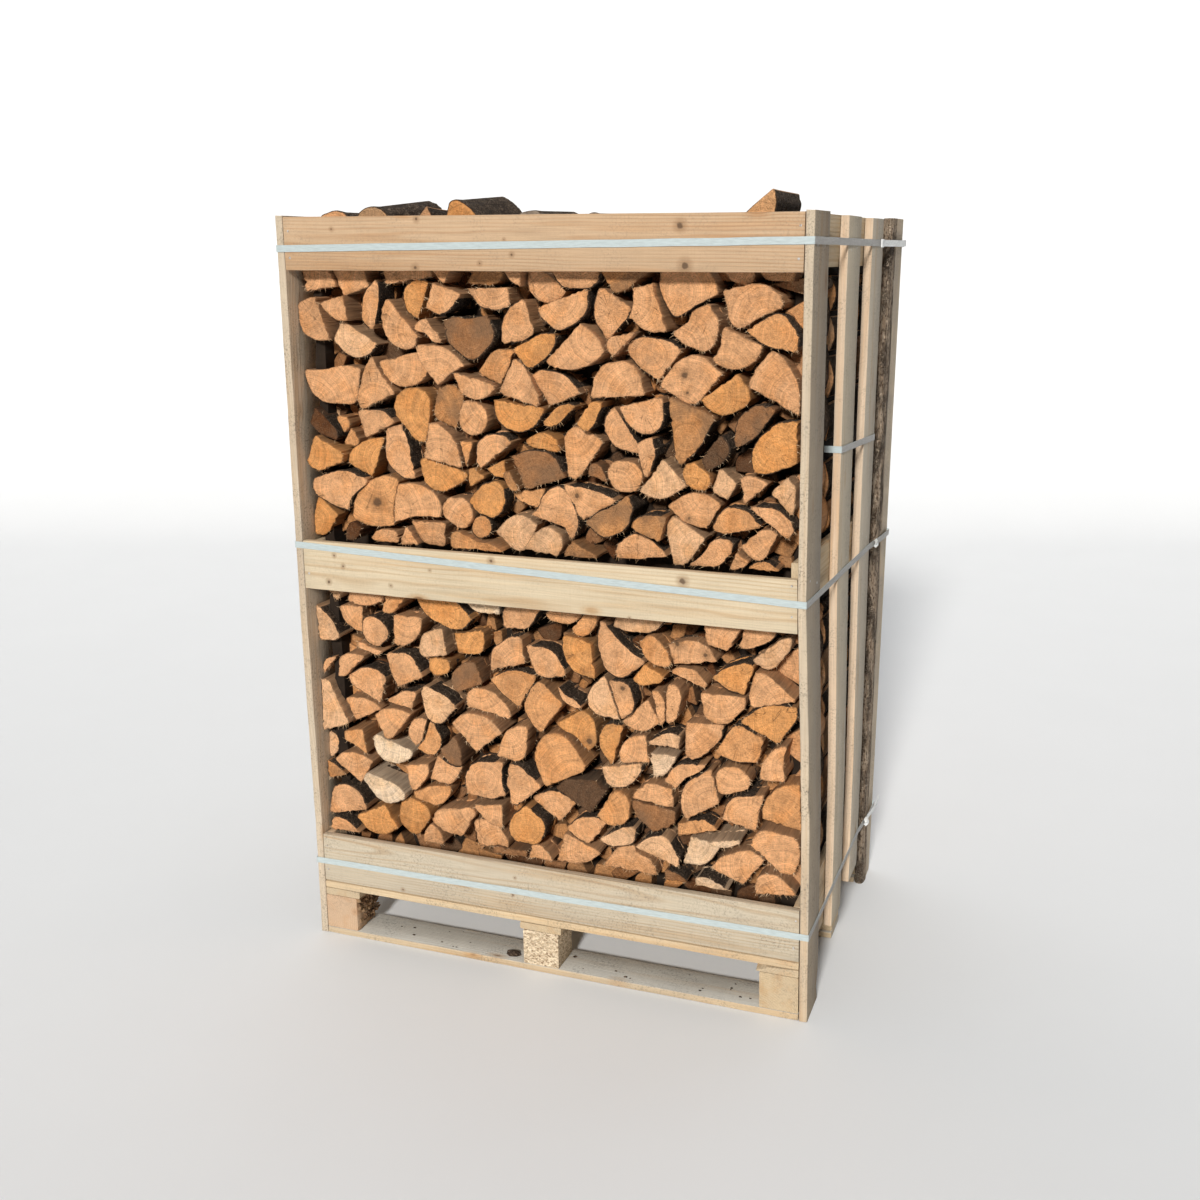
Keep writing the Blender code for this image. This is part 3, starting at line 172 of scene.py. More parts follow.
class Shape:
    """Corners and faces of one piece, with what its materials read at every corner.

    grain is a place measured from the heart of the tree, tint is the wood's colour, with painted shade
    and light in it on some pieces, and the share of bark, and edge holds how close the rim is, how worn
    the wood is, and a number of its own.
    """

    def __init__(self):
        self.points, self.faces, self.slots, self.count = [], [], [], 0
        self.grain, self.tint, self.edge = [], [], []

    def add(self, points, faces, slots, grain, tint, edge):
        points = np.asarray(points, float)
        self.points.append(points)
        self.faces += [tuple(i + self.count for i in face) for face in faces]
        self.slots += list(slots) if not isinstance(slots, int) else [slots] * len(faces)
        self.grain.append(np.broadcast_to(np.asarray(grain, float), (len(points), 3)))
        self.tint.append(np.broadcast_to(np.asarray(tint, float), (len(points), 4)))
        self.edge.append(np.broadcast_to(np.asarray(edge, float), (len(points), 3)))
        self.count += len(points)

    def finish(self, name, materials, nodes=(), slot=None, sharp=42.0):
        mesh = bpy.data.meshes.new(name)
        mesh.from_pydata(np.concatenate(self.points).tolist(), [], self.faces)
        for material in materials:
            mesh.materials.append(material)
        mesh.polygons.foreach_set("material_index", self.slots)
        for label, kind, key, rows in (("grain", 'FLOAT_VECTOR', "vector", self.grain),
                                       ("tint", 'FLOAT_COLOR', "color", self.tint),
                                       ("edge", 'FLOAT_VECTOR', "vector", self.edge)):
            layer = mesh.attributes.new(label, kind, 'POINT')
            layer.data.foreach_set(key, np.concatenate(rows).astype(np.float32).ravel())
        mesh.update()
        mesh.shade_smooth()
        mesh.set_sharp_from_angle(angle=math.radians(sharp))
        return settled(bpy.data.objects.new(name, mesh), nodes)


def settled(piece, nodes=()):
    """Put a finished piece in the scene, riding on the crate."""
    if piece.name not in bpy.context.scene.collection.objects:
        bpy.context.scene.collection.objects.link(piece)
    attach(piece, "root")
    if nodes:
        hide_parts(*nodes)
    return piece


# Materials

class Finish:
    """A material under construction: every call adds one node and gives back its first output."""

    def __init__(self, name, roughness=0.8):
        self.material = bpy.data.materials.new(name)
        self.material.use_nodes = True
        self.tree = self.material.node_tree
        self.shader = self.tree.nodes["Principled BSDF"]
        self.shader.inputs["Roughness"].default_value = roughness
        self.shader.inputs["Specular IOR Level"].default_value = 0.25

    def node(self, kind, values=None, out=0, **settings):
        item = self.tree.nodes.new(kind)
        for key, value in settings.items():
            setattr(item, key, value)
        for key, value in (values or {}).items():
            if isinstance(value, bpy.types.NodeSocket):
                self.tree.links.new(value, item.inputs[key])
            else:
                item.inputs[key].default_value = value
        return item.outputs[out]

    def attribute(self, name, out="Vector"):
        return self.node('ShaderNodeAttribute', out=out, attribute_name=name)

    def math(self, operation, *values, clamp=False):
        return self.node('ShaderNodeMath', dict(enumerate(values)), operation=operation, use_clamp=clamp)

    def split(self, vector):
        item = self.node('ShaderNodeSeparateXYZ', {0: vector}).node
        return item.outputs[0], item.outputs[1], item.outputs[2]

    def join(self, x, y, z):
        return self.node('ShaderNodeCombineXYZ', {0: x, 1: y, 2: z})

    def stretched(self, vector, *scale):
        return self.node('ShaderNodeVectorMath', {0: vector, 1: scale}, operation='MULTIPLY')

    def noise(self, vector, scale=1.0, detail=2.0, roughness=0.5, distortion=0.0):
        return self.node('ShaderNodeTexNoise', {"Vector": vector, "Scale": scale, "Detail": detail,
                                                "Roughness": roughness, "Distortion": distortion})

    def ramp(self, value, low, high, first=0.0, last=1.0):
        """Value from first to last while the input goes from low to high."""
        return self.node('ShaderNodeMapRange', {0: value, 1: low, 2: high, 3: first, 4: last})

    def mix(self, share, first, second, blend='MIX'):
        item = self.node('ShaderNodeMix', {}, data_type='RGBA', blend_type=blend, clamp_factor=True).node
        for key, value in ((0, share), (6, first), (7, second)):
            if isinstance(value, bpy.types.NodeSocket):
                self.tree.links.new(value, item.inputs[key])
            elif key == 0:
                item.inputs[key].default_value = value
            else:
                item.inputs[key].default_value = (*value, 1.0)
        return item.outputs[2]

    def scaled(self, colour, amount):
        """Colour made lighter or darker by a number."""
        return self.node('ShaderNodeVectorMath', {0: colour, "Scale": amount}, operation='SCALE')

    def end(self, colour, height=None, depth=0.001, roughness=None):
        self.tree.links.new(colour, self.shader.inputs["Base Color"])
        if roughness is not None:
            self.tree.links.new(roughness, self.shader.inputs["Roughness"])
        if height is not None:
            bump = self.node('ShaderNodeBump', {"Height": height, "Distance": depth, "Strength": 1.0})
            self.tree.links.new(bump, self.shader.inputs["Normal"])
        return self.material


def end_grain_finish():
    """Sawn log end: faint rings round the heart, cracks running out from it, saw fuzz, a torn dark rim."""
    make = Finish("log_end_grain", 0.86)
    place, tint, edge = make.attribute("grain"), make.attribute("tint", "Color"), make.attribute("edge")
    bark = make.attribute("tint", "Alpha")
    x, _, z = make.split(place)
    rim, wear, own = make.split(edge)
    blotch = make.ramp(make.noise(place, 42.0, 3.0, 0.6), 0.3, 0.7, -1.0, 1.0)
    wander = make.noise(place, 30.0, 2.0)
    mottle = make.ramp(make.noise(place, 165.0, 3.0, 0.7), 0.3, 0.7, -1.0, 1.0)
    fuzz = make.ramp(make.noise(place, 430.0, 2.0, 0.65), 0.3, 0.7, -1.0, 1.0)
    flat = make.join(x, 0.0, z)
    reach = make.node('ShaderNodeVectorMath', {0: flat}, out="Value", operation='LENGTH')
    reach = make.math('ADD', reach, make.math('MULTIPLY', wander, 0.014))
    ring = make.math('SINE', make.math('MULTIPLY', reach, 1450.0))
    broad = make.noise(make.join(make.math('MULTIPLY', reach, 170.0), own, 0.0), 1.0, 1.5)
    broad = make.ramp(broad, 0.3, 0.7, -1.0, 1.0)
    angle = make.math('ARCTAN2', z, x)
    ray = make.noise(make.join(make.math('MULTIPLY', angle, 13.0), make.math('MULTIPLY', reach, 16.0), own),
                     1.0, 3.0)
    ray = make.ramp(ray, 0.3, 0.7, -1.0, 1.0)
    crack = make.noise(make.join(make.math('MULTIPLY', angle, 1.3), make.math('MULTIPLY', reach, 9.0),
                                 make.math('MULTIPLY', own, 37.0)), 1.0, 1.5)
    crack = make.ramp(make.math('ABSOLUTE', make.math('SUBTRACT', crack, 0.47)), 0.002, 0.011, 1.0, 0.0)
    crack = make.math('MULTIPLY', crack, make.ramp(make.noise(place, 38.0, 1.0), 0.53, 0.60))
    crack = make.math('MULTIPLY', crack, make.ramp(own, 0.62, 0.66))
    tuft = make.node('ShaderNodeTexVoronoi', {"Vector": make.stretched(place, 210.0, 60.0, 170.0),
                                              "Scale": 1.0})
    shade = make.math('ADD', 1.10, make.math('MULTIPLY', blotch, 0.17))
    shade = make.math('ADD', shade, make.math('MULTIPLY', mottle, 0.14))
    shade = make.math('ADD', shade, make.math('MULTIPLY', fuzz, 0.09))
    shade = make.math('ADD', shade, make.math('MULTIPLY', ring, make.ramp(blotch, -0.6, 0.8, 0.03, 0.10)))
    shade = make.math('ADD', shade, make.math('MULTIPLY', broad, 0.17))
    shade = make.math('ADD', shade, make.math('MULTIPLY', ray, 0.15))
    shade = make.math('ADD', shade, make.math('MULTIPLY', tuft, -0.12))
    shade = make.math('SUBTRACT', shade, make.math('MULTIPLY', crack, 0.30))
    colour = make.scaled(tint, shade)
    amber = make.ramp(make.noise(place, 26.0, 2.0), 0.46, 0.66, 0.0, 0.60)
    colour = make.mix(amber, colour, make.mix(1.0, colour, (0.93, 0.80, 0.62), 'MULTIPLY'))
    pale = make.ramp(make.noise(place, 620.0, 2.0, 0.7), 0.56, 0.72, 0.0, 0.45)
    colour = make.mix(pale, colour, make.mix(0.5, make.scaled(tint, 1.3), (0.72, 0.52, 0.33)))
    dusty = make.math('MULTIPLY', wear, make.ramp(make.noise(place, 19.0, 3.0), 0.44, 0.60))
    colour = make.mix(dusty, colour, make.scaled(make.mix(0.6, colour, (0.27, 0.165, 0.095)), 0.80))
    torn = make.ramp(make.math('ADD', rim, make.math('MULTIPLY', make.noise(place, 420.0, 2.0), 0.9)),
                     0.98, 1.36)
    colour = make.mix(make.math('MULTIPLY', torn, 0.62), colour, make.scaled(tint, 0.30))
    husk = make.ramp(make.math('ADD', make.math('MULTIPLY', bark, rim),
                               make.math('MULTIPLY', make.noise(place, 300.0, 2.0), 0.6)), 0.78, 1.02)
    colour = make.mix(husk, colour, (0.065, 0.038, 0.022))
    colour = knotted(make, colour, END_KNOTS, -0.329)
    height = make.math('SUBTRACT', make.math('MULTIPLY', fuzz, 0.5), make.math('MULTIPLY', crack, 1.2))
    height = make.math('ADD', height, make.math('MULTIPLY', mottle, 0.6))
    height = make.math('SUBTRACT', height, make.math('MULTIPLY', tuft, 0.8))
    return make.end(colour, height, 0.0016)


def knotted(make, colour, knots, depth):
    """The colour with the marked knots of the front in it, each a dark heart in a brown ring."""
    spot = make.stretched(make.node('ShaderNodeTexCoord', out="Object"), 1.0, 0.15, 1.0)
    wobble = make.math('MULTIPLY', make.noise(spot, 130.0, 2.0), 0.005)
    for x, z, size in knots:
        middle = (x / 1000 - CENTRE[0], 0.15 * depth, z / 1000)
        gap = make.node('ShaderNodeVectorMath', {0: spot, 1: middle}, out="Value", operation='DISTANCE')
        gap = make.math('ADD', gap, wobble)
        size = size / 1000 + 0.0025
        colour = make.mix(make.ramp(gap, size * 0.9, size * 1.7, 0.45, 0.0), colour, (0.24, 0.13, 0.060))
        colour = make.mix(make.ramp(gap, size * 0.55, size * 0.8, 0.80, 0.0), colour, (0.085, 0.050, 0.030))
    return colour


def split_face_finish():
    """Face of a log that was split along the grain: long fibres, torn here and there."""
    make = Finish("log_split_face", 0.88)
    place, tint = make.attribute("grain"), make.attribute("tint", "Color")
    streak = make.noise(make.stretched(place, 190.0, 7.0, 190.0), 1.0, 3.0, 0.6)
    fibre = make.noise(make.stretched(place, 620.0, 26.0, 620.0), 1.0, 2.0, 0.6)
    patch = make.noise(make.stretched(place, 18.0, 9.0, 18.0), 1.0, 2.0)
    shade = make.math('ADD', 0.10, make.math('MULTIPLY', streak, 0.80))
    shade = make.math('ADD', shade, make.math('MULTIPLY', fibre, 0.26))
    colour = make.scaled(tint, shade)
    grey = make.ramp(patch, 0.40, 0.62, 0.10, 0.80)
    colour = make.mix(grey, colour, make.scaled(make.mix(0.5, tint, (0.24, 0.175, 0.12)), shade))
    height = make.math('ADD', streak, make.math('MULTIPLY', fibre, 0.5))
    return make.end(colour, height, 0.0032)


def bark_finish(name="log_bark_skin", thin=0.0, dry=(0.250, 0.175, 0.118), fine_plates=1.0):
    """Dark scaly bark with paler dry plates and deep furrows, rubbed through where it is thin."""
    make = Finish(name, 0.95)
    place = make.attribute("grain")
    bent = make.node('ShaderNodeTexNoise', {"Vector": place, "Scale": 75.0, "Detail": 3.0}, out="Color")
    bent = make.node('ShaderNodeVectorMath', {0: place, 1: make.scaled(bent, 0.030)}, operation='ADD')
    plates = make.node('ShaderNodeTexVoronoi', {"Vector": make.stretched(bent, 100.0, 22.0, 100.0),
                                                "Scale": fine_plates, "Randomness": 1.0},
                       feature='DISTANCE_TO_EDGE')
    furrow = make.ramp(plates, 0.02, 0.22)
    coarse = make.noise(make.stretched(place, 60.0, 22.0, 60.0), 1.0, 4.0, 0.65)
    fine = make.noise(place, 420.0, 3.0, 0.6)
    colour = make.mix(make.ramp(coarse, 0.34, 0.66), tuple(0.30 * part for part in dry), dry)
    colour = make.mix(make.ramp(make.noise(place, 34.0, 2.0), 0.60, 0.70, 0.0, 0.7), colour,
                      (0.36, 0.285, 0.205))
    colour = make.scaled(colour, make.math('ADD', 0.62, make.math('MULTIPLY', fine, 0.76)))
    colour = make.mix(make.math('SUBTRACT', 1.0, furrow), colour, (0.042, 0.026, 0.016))
    if thin:
        rubbed = make.ramp(make.noise(make.stretched(place, 60.0, 14.0, 60.0), 1.0, 4.0, 0.6), 0.42, 0.56)
        tone = make.noise(make.stretched(place, 210.0, 26.0, 210.0), 1.0, 3.0)
        colour = make.mix(make.math('MULTIPLY', rubbed, thin), colour,
                          make.mix(make.ramp(tone, 0.35, 0.65), (0.36, 0.25, 0.165), (0.66, 0.53, 0.40)))
        pits = make.ramp(make.noise(make.stretched(place, 260.0, 110.0, 260.0), 1.0, 2.0, 0.6), 0.53, 0.61)
        colour = make.mix(make.math('MULTIPLY', pits, 0.8), colour, (0.085, 0.055, 0.035))
    height = make.math('ADD', furrow, make.math('ADD', coarse, make.math('MULTIPLY', fine, 0.3)))
    return make.end(colour, height, 0.0040)


def sawn_finish(name, ring_gap=0.0046, contrast=0.20, grain="grain", marks=()):
    """Sawn board: rings of the tree cut lengthwise, long fibres, knots and mould specks."""
    make = Finish(name, 0.78)
    place, tint, edge = make.attribute(grain), make.attribute("tint", "Color"), make.attribute("edge")
    rim, wear, _ = make.split(edge)
    _, across, deep = make.split(place)
    knots = make.node('ShaderNodeTexVoronoi', {"Vector": make.stretched(place, 5.2, 13.0, 13.0),
                                               "Scale": 1.0, "Randomness": 0.95})
    near = make.ramp(knots, 0.0, 0.30, 1.0, 0.0)
    swirl = make.math('MULTIPLY', make.math('POWER', near, 3.0), 0.010)
    wander = make.noise(make.stretched(place, 3.0, 11.0, 11.0), 1.0, 2.0)
    reach = make.node('ShaderNodeVectorMath', {0: make.join(0.0, across, deep)}, out="Value",
                      operation='LENGTH')
    reach = make.math('ADD', make.math('ADD', reach, swirl), make.math('MULTIPLY', wander, 0.013))
    ring = make.math('SINE', make.math('MULTIPLY', reach, 2.0 * math.pi / ring_gap))
    faded = make.noise(make.stretched(place, 2.2, 30.0, 30.0), 1.0, 2.0)
    late = make.math('MULTIPLY', make.ramp(ring, 0.0, 1.0), make.ramp(faded, 0.36, 0.62, 0.15, 1.0))
    fibre = make.noise(make.stretched(place, 9.0, 420.0, 420.0), 1.0, 3.0, 0.6)
    saw = make.noise(make.stretched(place, 330.0, 12.0, 12.0), 1.0, 1.0)
    cloud = make.noise(make.stretched(place, 4.0, 14.0, 14.0), 1.0, 3.0)
    shade = make.math('ADD', 0.52, make.math('MULTIPLY', fibre, 0.52))
    shade = make.math('ADD', shade, make.math('MULTIPLY', cloud, 0.50))
    shade = make.math('ADD', shade, make.math('MULTIPLY', saw, 0.06))
    colour = make.scaled(tint, shade)
    colour = make.mix(make.math('MULTIPLY', late, contrast), colour,
                      make.mix(1.0, colour, (0.66, 0.46, 0.27), 'MULTIPLY'))
    band = make.noise(make.stretched(place, 1.4, 34.0, 34.0), 1.0, 3.0, 0.6)
    band = make.ramp(band, 0.50, 0.68, 0.0, 0.7)
    band = make.math('MULTIPLY', band, make.ramp(fibre, 0.35, 0.6, 0.45, 1.0))
    colour = make.mix(band, colour, make.mix(1.0, colour, (0.86, 0.68, 0.50), 'MULTIPLY'))
    heart = make.ramp(knots, 0.045, 0.075, 1.0, 0.0)
    halo = make.ramp(knots, 0.075, 0.17, 0.55, 0.0)
    colour = make.mix(halo, colour, make.mix(1.0, colour, (0.80, 0.56, 0.34), 'MULTIPLY'))
    colour = make.mix(make.math('MULTIPLY', heart, 0.85), colour, (0.21, 0.105, 0.045))
    specks = make.noise(place, 240.0, 3.0, 0.7)
    mould = make.math('MULTIPLY', make.ramp(specks, 0.50, 0.66), wear)
    mould = make.math('MULTIPLY', mould, make.ramp(make.noise(place, 17.0, 2.0), 0.38, 0.62))
    colour = make.mix(mould, colour, make.scaled(make.mix(0.7, tint, (0.17, 0.15, 0.13)), 0.60))
    grimy = make.math('MULTIPLY', make.ramp(cloud, 0.42, 0.64), wear)
    colour = make.mix(make.math('MULTIPLY', grimy, 0.60), colour,
                      make.scaled(make.mix(0.6, tint, (0.33, 0.30, 0.26)), 0.80))
    colour = make.mix(make.math('MULTIPLY', rim, 0.18), colour, make.scaled(tint, 0.55))
    if marks:
        colour = knotted(make, colour, marks, -0.369)
    height = make.math('ADD', make.math('ADD', fibre, make.math('MULTIPLY', late, 0.35)),
                       make.math('MULTIPLY', saw, 0.5))
    return make.end(colour, height, 0.0009)


def chip_finish():
    """Block pressed from wood chips: flakes of every tone, lying all ways."""
    make = Finish("pressed_wood_chips", 0.9)
    place = make.node('ShaderNodeTexCoord', out="Object")
    flakes = make.node('ShaderNodeTexVoronoi', {"Vector": make.stretched(place, 1.0, 1.0, 1.9),
                                                "Scale": 210.0, "Randomness": 1.0}, out="Color")
    small = make.node('ShaderNodeTexVoronoi', {"Vector": place, "Scale": 520.0}, out="Color")
    red, green, _ = make.split(flakes)
    other = make.split(small)[0]
    colour = make.mix(make.ramp(red, 0.1, 0.9), (0.50, 0.38, 0.25), (0.80, 0.66, 0.48))
    colour = make.mix(make.ramp(green, 0.84, 0.90, 0.0, 0.8), colour, (0.22, 0.13, 0.07))
    colour = make.scaled(colour, make.math('ADD', 0.78, make.math('MULTIPLY', other, 0.40)))
    return make.end(colour, make.math('ADD', red, make.math('MULTIPLY', other, 0.4)), 0.0012)


def strap_finish(name, colour, side_shade=0.0):
    """Strapping band: pale plastic, a fine rolled diamond pattern, scuffs, and grey painted shade on its
    sides.
    """
    make = Finish(name, 0.38)
    make.shader.inputs["Specular IOR Level"].default_value = 0.5
    place = make.node('ShaderNodeTexCoord', out="Object")
    x, y, z = make.split(place)
    run = make.math('ADD', x, y)
    one = make.math('SINE', make.math('MULTIPLY', make.math('ADD', run, z), 2400.0))
    two = make.math('SINE', make.math('MULTIPLY', make.math('SUBTRACT', run, z), 2400.0))
    scuff = make.noise(make.stretched(place, 60.0, 60.0, 500.0), 1.0, 3.0)
    tone = make.mix(make.ramp(scuff, 0.35, 0.75), colour, tuple(0.80 * part for part in colour))
    # Faces that look along x, down the crate's sides, turn grey: painted shade.
    tone = make.mix(make.math('MULTIPLY', make.attribute("side", "Fac"), side_shade), tone, (0.28, 0.265, 0.245))
    rough = make.ramp(scuff, 0.3, 0.7, 0.30, 0.52)
    return make.end(tone, make.math('MULTIPLY', make.math('ADD', one, two), 0.5), 0.00012, rough)


def steel_finish():
    """Nail heads: dull steel going brown."""
    make = Finish("nail_steel", 0.45)
    make.shader.inputs["Specular IOR Level"].default_value = 0.6
    place = make.node('ShaderNodeTexCoord', out="Object")
    rust = make.ramp(make.noise(place, 260.0, 3.0), 0.42, 0.62)
    return make.end(make.mix(rust, (0.50, 0.49, 0.47), (0.27, 0.20, 0.15)), rust, 0.0003)


def splinter_finish():
    """Torn slivers of wood."""
    make = Finish("torn_fibres", 0.9)
    place = make.node('ShaderNodeTexCoord', out="Object")
    tone = make.noise(place, 60.0, 2.0)
    return make.end(make.mix(make.ramp(tone, 0.35, 0.65), (0.60, 0.36, 0.18), (0.92, 0.68, 0.44)),
                    make.noise(place, 900.0, 1.0), 0.0004)


def hollow_finish():
    """The inside of the stack, where hardly any light gets in, coloured near black as painted shade."""
    make = Finish("stack_inside", 1.0)
    place = make.node('ShaderNodeTexCoord', out="Object")
    tone = make.noise(make.stretched(place, 30.0, 8.0, 30.0), 1.0, 3.0)
    return make.end(make.mix(tone, (0.006, 0.004, 0.003), (0.040, 0.026, 0.017)), tone, 0.004)


FINISHES = {}


def finish(name):
    """The finish of that name, made the first time it is asked for."""
    makers = {
        "end": end_grain_finish, "split": split_face_finish,
        "bark": lambda: bark_finish("log_bark_skin", 0.0, (0.215, 0.150, 0.102), 2.1),
        "slat": lambda: sawn_finish("sawn_slats"),
        "rail": lambda: sawn_finish("sawn_rails", 0.0058, 0.42, marks=BOARD_KNOTS),
        "pallet": lambda: sawn_finish("sawn_pallet", 0.0048, 0.24),
        "slab": lambda: sawn_finish("sawn_slab", 0.0046, 0.20, "length_grain"),
        "slab_bark": lambda: bark_finish("thin_slab_bark", 0.9, (0.42, 0.335, 0.250), 3.2),
        "chip": chip_finish, "nail": steel_finish, "splinter": splinter_finish, "hollow": hollow_finish,
        "strap": lambda: strap_finish("strapping_band", tuple(looks().strap_colour), 1.0),
        "clip": lambda: strap_finish("strap_clip", (0.80, 0.82, 0.82)),
    }
    if name not in FINISHES:
        FINISHES[name] = makers[name]()
    return FINISHES[name]


# Sawn boards

def wave(seed, place, scale):
    """Smooth number from -1 to 1 along a line."""
    return noise.noise(Vector((place * scale, seed * 7.13, seed * 1.7)))


def sawn_board(shape, limits, axis, tint, wear, seed, worn=0.0013, step=0.022, notch=None, other=None):
    """A sawn board inside its limits, with rounded worn edges that wander and faces not quite flat.

    limits are the board's sides in the square crate; axis is the way its grain runs; other is the tint
    of the two faces that look along the last of the directions across the grain.
    """
    other = other or tint
    rng = random.Random(seed)
    low, high = [list(side) for side in zip(*limits)]
    one, two = [i for i in range(3) if i != axis]
    length = high[axis] - low[axis]
    count = max(3, int(length / step) + 1)
    thin = min(high[one] - low[one], high[two] - low[two])
    heart = (rng.uniform(-0.2, 1.2) * (high[one] - low[one]), -rng.uniform(0.01, 0.07))
    if high[one] - low[one] < high[two] - low[two]:
        heart = (-rng.uniform(0.01, 0.07), rng.uniform(-0.2, 1.2) * (high[two] - low[two]))
    slope = (rng.uniform(-0.030, 0.030), rng.uniform(-0.012, 0.012))
    start, own = rng.uniform(0, 40), rng.random()
    corners = ((0, 0), (1, 0), (1, 1), (0, 1))
    points, grain, edge, faces, tints = [], [], [], [], []
    for k in range(count + 1):
        t = k / count
        place = low[axis] + t * length
        end_rim = 1.0 if k in (0, count) else 0.0
        for c, (a, b) in enumerate(corners):
            rounding = worn * (1.0 + 0.8 * wave(seed + c, place, 21.0) + 0.5 * wave(seed + c, place, 90.0))
            rounding = min(max(rounding, 0.0005), 0.3 * thin)
            if k in (0, count):
                rounding *= 1.6
            dip_one = 0.0004 * (1 + wave(seed + 11 * a, place, 9.0))
            dip_two = 0.0004 * (1 + wave(seed + 17 * b + 3, place, 9.0))
            if notch:
                extra = notch(place, a, b)
                dip_one, dip_two = dip_one + extra[0], dip_two + extra[1]
            sign_one, sign_two = (1 if a == 0 else -1), (1 if b == 0 else -1)
            flat_one = (low[one] if a == 0 else high[one]) + sign_one * dip_one
            flat_two = (low[two] if b == 0 else high[two]) + sign_two * dip_two
            arc = ((0.0, 1.0), (0.3, 0.3), (1.0, 0.0))
            if (a + b) % 2:
                arc = arc[::-1]
            for u, v in arc:
                spot = [0.0, 0.0, 0.0]
                spot[axis] = place
                if k in (0, count):
                    jag = 0.0007 * (1 + wave(seed + c + 5, flat_one + flat_two + u, 300.0))
                    spot[axis] += jag if k == 0 else -jag
                spot[one] = flat_one + sign_one * rounding * u
                spot[two] = flat_two + sign_two * rounding * v
                points.append(placed(*spot))
                grain.append((place + start, spot[one] - low[one] - heart[0] + slope[0] * place,
                              spot[two] - low[two] - heart[1] + slope[1] * place))
                edge.append((0.35 + 0.65 * end_rim if u + v < 0.9 else 0.5 * end_rim, wear, own))
                side = u / (u + v)
                tints.append((*(p + (q - p) * side for p, q in zip(tint, other)), 0.0))
    ring = 12
    flip = (one, two) == (0, 2)
    for k in range(count):
        for i in range(ring):
            j = (i + 1) % ring
            face = (k * ring + i, k * ring + j, (k + 1) * ring + j, (k + 1) * ring + i)
            faces.append(face[::-1] if flip else face)
    near, far = tuple(range(ring))[::-1], tuple(count * ring + i for i in range(ring))
    faces += [near[::-1] if flip else near, far[::-1] if flip else far]
    shape.add(points, faces, 0, grain, tints, edge)


def varied(colour, rng, amount=0.08):
    """A colour a little lighter or darker, and a little warmer or cooler."""
    light, warm = 1.0 + rng.uniform(-amount, amount), rng.uniform(-0.5, 0.5) * amount
    return (colour[0] * light * (1 + 0.4 * warm), colour[1] * light, colour[2] * light * (1 - warm))


def limits_of(node):
    """A CAD board's sides across y and z, which the lean leaves as they are."""
    low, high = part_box(node)
    return (low.y + CENTRE[1], high.y + CENTRE[1]), (low.z, high.z)


ACROSS = (BOARD + 0.0004, WIDTH - BOARD - 0.0004)


class FIREWOOD_OT_rails(bpy.types.Operator):
    """Horizontal boards of the front, the back and the sides"""
    bl_idname = "firewood.rails"
    bl_label = "Horizontal Boards"

    def execute(self, context):
        pale = tuple(looks().board_colour)
        tones = {"top": (0.91, 0.80, 0.75), "middle": (1.02, 1.07, 1.12), "lower": (0.90, 0.98, 1.11)}
        wears = {"top": 0.25, "middle": 0.15, "lower": 0.55}
        for side in ("front", "back"):
            shape, nodes = Shape(), []
            for i, level in enumerate(LEVELS):
                node = f"{side}_board_{level}"
                y, z = limits_of(node)
                tint = tuple(part * share for part, share in zip(pale, tones[level]))
                sawn_board(shape, (ACROSS, y, z), 0, tint, wears[level], 40 + 7 * i + 3 * len(side))
                nodes.append(node)
            shape.finish(f"{side}_boards", [finish("rail")], nodes, "rail_wood")
        inside = {"left": (BOARD + 0.0008, 2 * BOARD), "right": (WIDTH - 2 * BOARD, WIDTH - BOARD - 0.0008)}
        for side, x in inside.items():
            shape, nodes = Shape(), []
            for i, level in enumerate(LEVELS):
                node = f"side_board_{side}_{level}"
                y, z = limits_of(node)
                rng = random.Random(90 + i + len(side))
                sawn_board(shape, (x, y, z), 1, varied(pale, rng), 0.3, 90 + 7 * i + len(side))
                nodes.append(node)
            shape.finish(f"side_boards_{side}", [finish("rail")], nodes, "rail_wood")
        return {'FINISHED'}


class FIREWOOD_OT_uprights(bpy.types.Operator):
    """Corner posts and the upright slats on the sides"""
    bl_idname = "firewood.uprights"
    bl_label = "Posts and Slats"

    def execute(self, context):
        tone = tuple(looks().slat_colour)
        faces = {"left": (0.0, BOARD), "right": (WIDTH - BOARD, WIDTH)}

        def splintered(place, a, b):
            """Wood torn off the rear corner of the foot, and a nick in the front edge."""
            torn = 0.016 * max(0.0, 1.0 - abs(place - 0.030) / 0.034) if b == 1 else 0.0
            nick = 0.004 * max(0.0, 1.0 - abs(place - 0.470) / 0.030) if b == 0 and a == 1 else 0.0
            return (nick * 0.7, torn + nick)

        for side, x in faces.items():
            posts, slats, names = Shape(), Shape(), []
            corners = ("front", "back") if side == "left" else ("front",)
            for i, corner in enumerate(corners):
                node = f"corner_post_{corner}_{side}"
                y, z = limits_of(node)
                rng = random.Random(130 + i + len(side))
                front = varied(tone, rng, 0.03)
                # Faces that look along x are made darker, most of all on the right side: painted shade for
                # the side turned away from the light.
                shaded_sides = tuple(part * (0.62 if side == "right" else 0.95) for part in front)
                sawn_board(posts, (x, y, z), 2, shaded_sides, 0.85, 131 + 5 * i + len(side), worn=0.0017,
                           step=0.016, notch=splintered if side == "right" else None, other=front)
                names.append(node)
            posts.finish(f"corner_posts_{side}", [finish("slat")], names, "slat_wood")
            for i in (1, 2):
                y, z = limits_of(f"side_slat_{side}_{i}")
                rng = random.Random(150 + i + len(side))
                side_tone = varied((tone[0] * 0.89, tone[1] * 0.95, tone[2] * 1.01), rng, 0.07)
                sawn_board(slats, (x, y, z), 2, side_tone, 0.5, 151 + 5 * i + len(side),
                           other=(tone[0] * 1.13, tone[1] * 1.07, tone[2] * 1.05))
            slats.finish(f"side_slats_{side}", [finish("slat")],
                         [f"side_slat_{side}_1", f"side_slat_{side}_2"], "slat_wood")
        return {'FINISHED'}


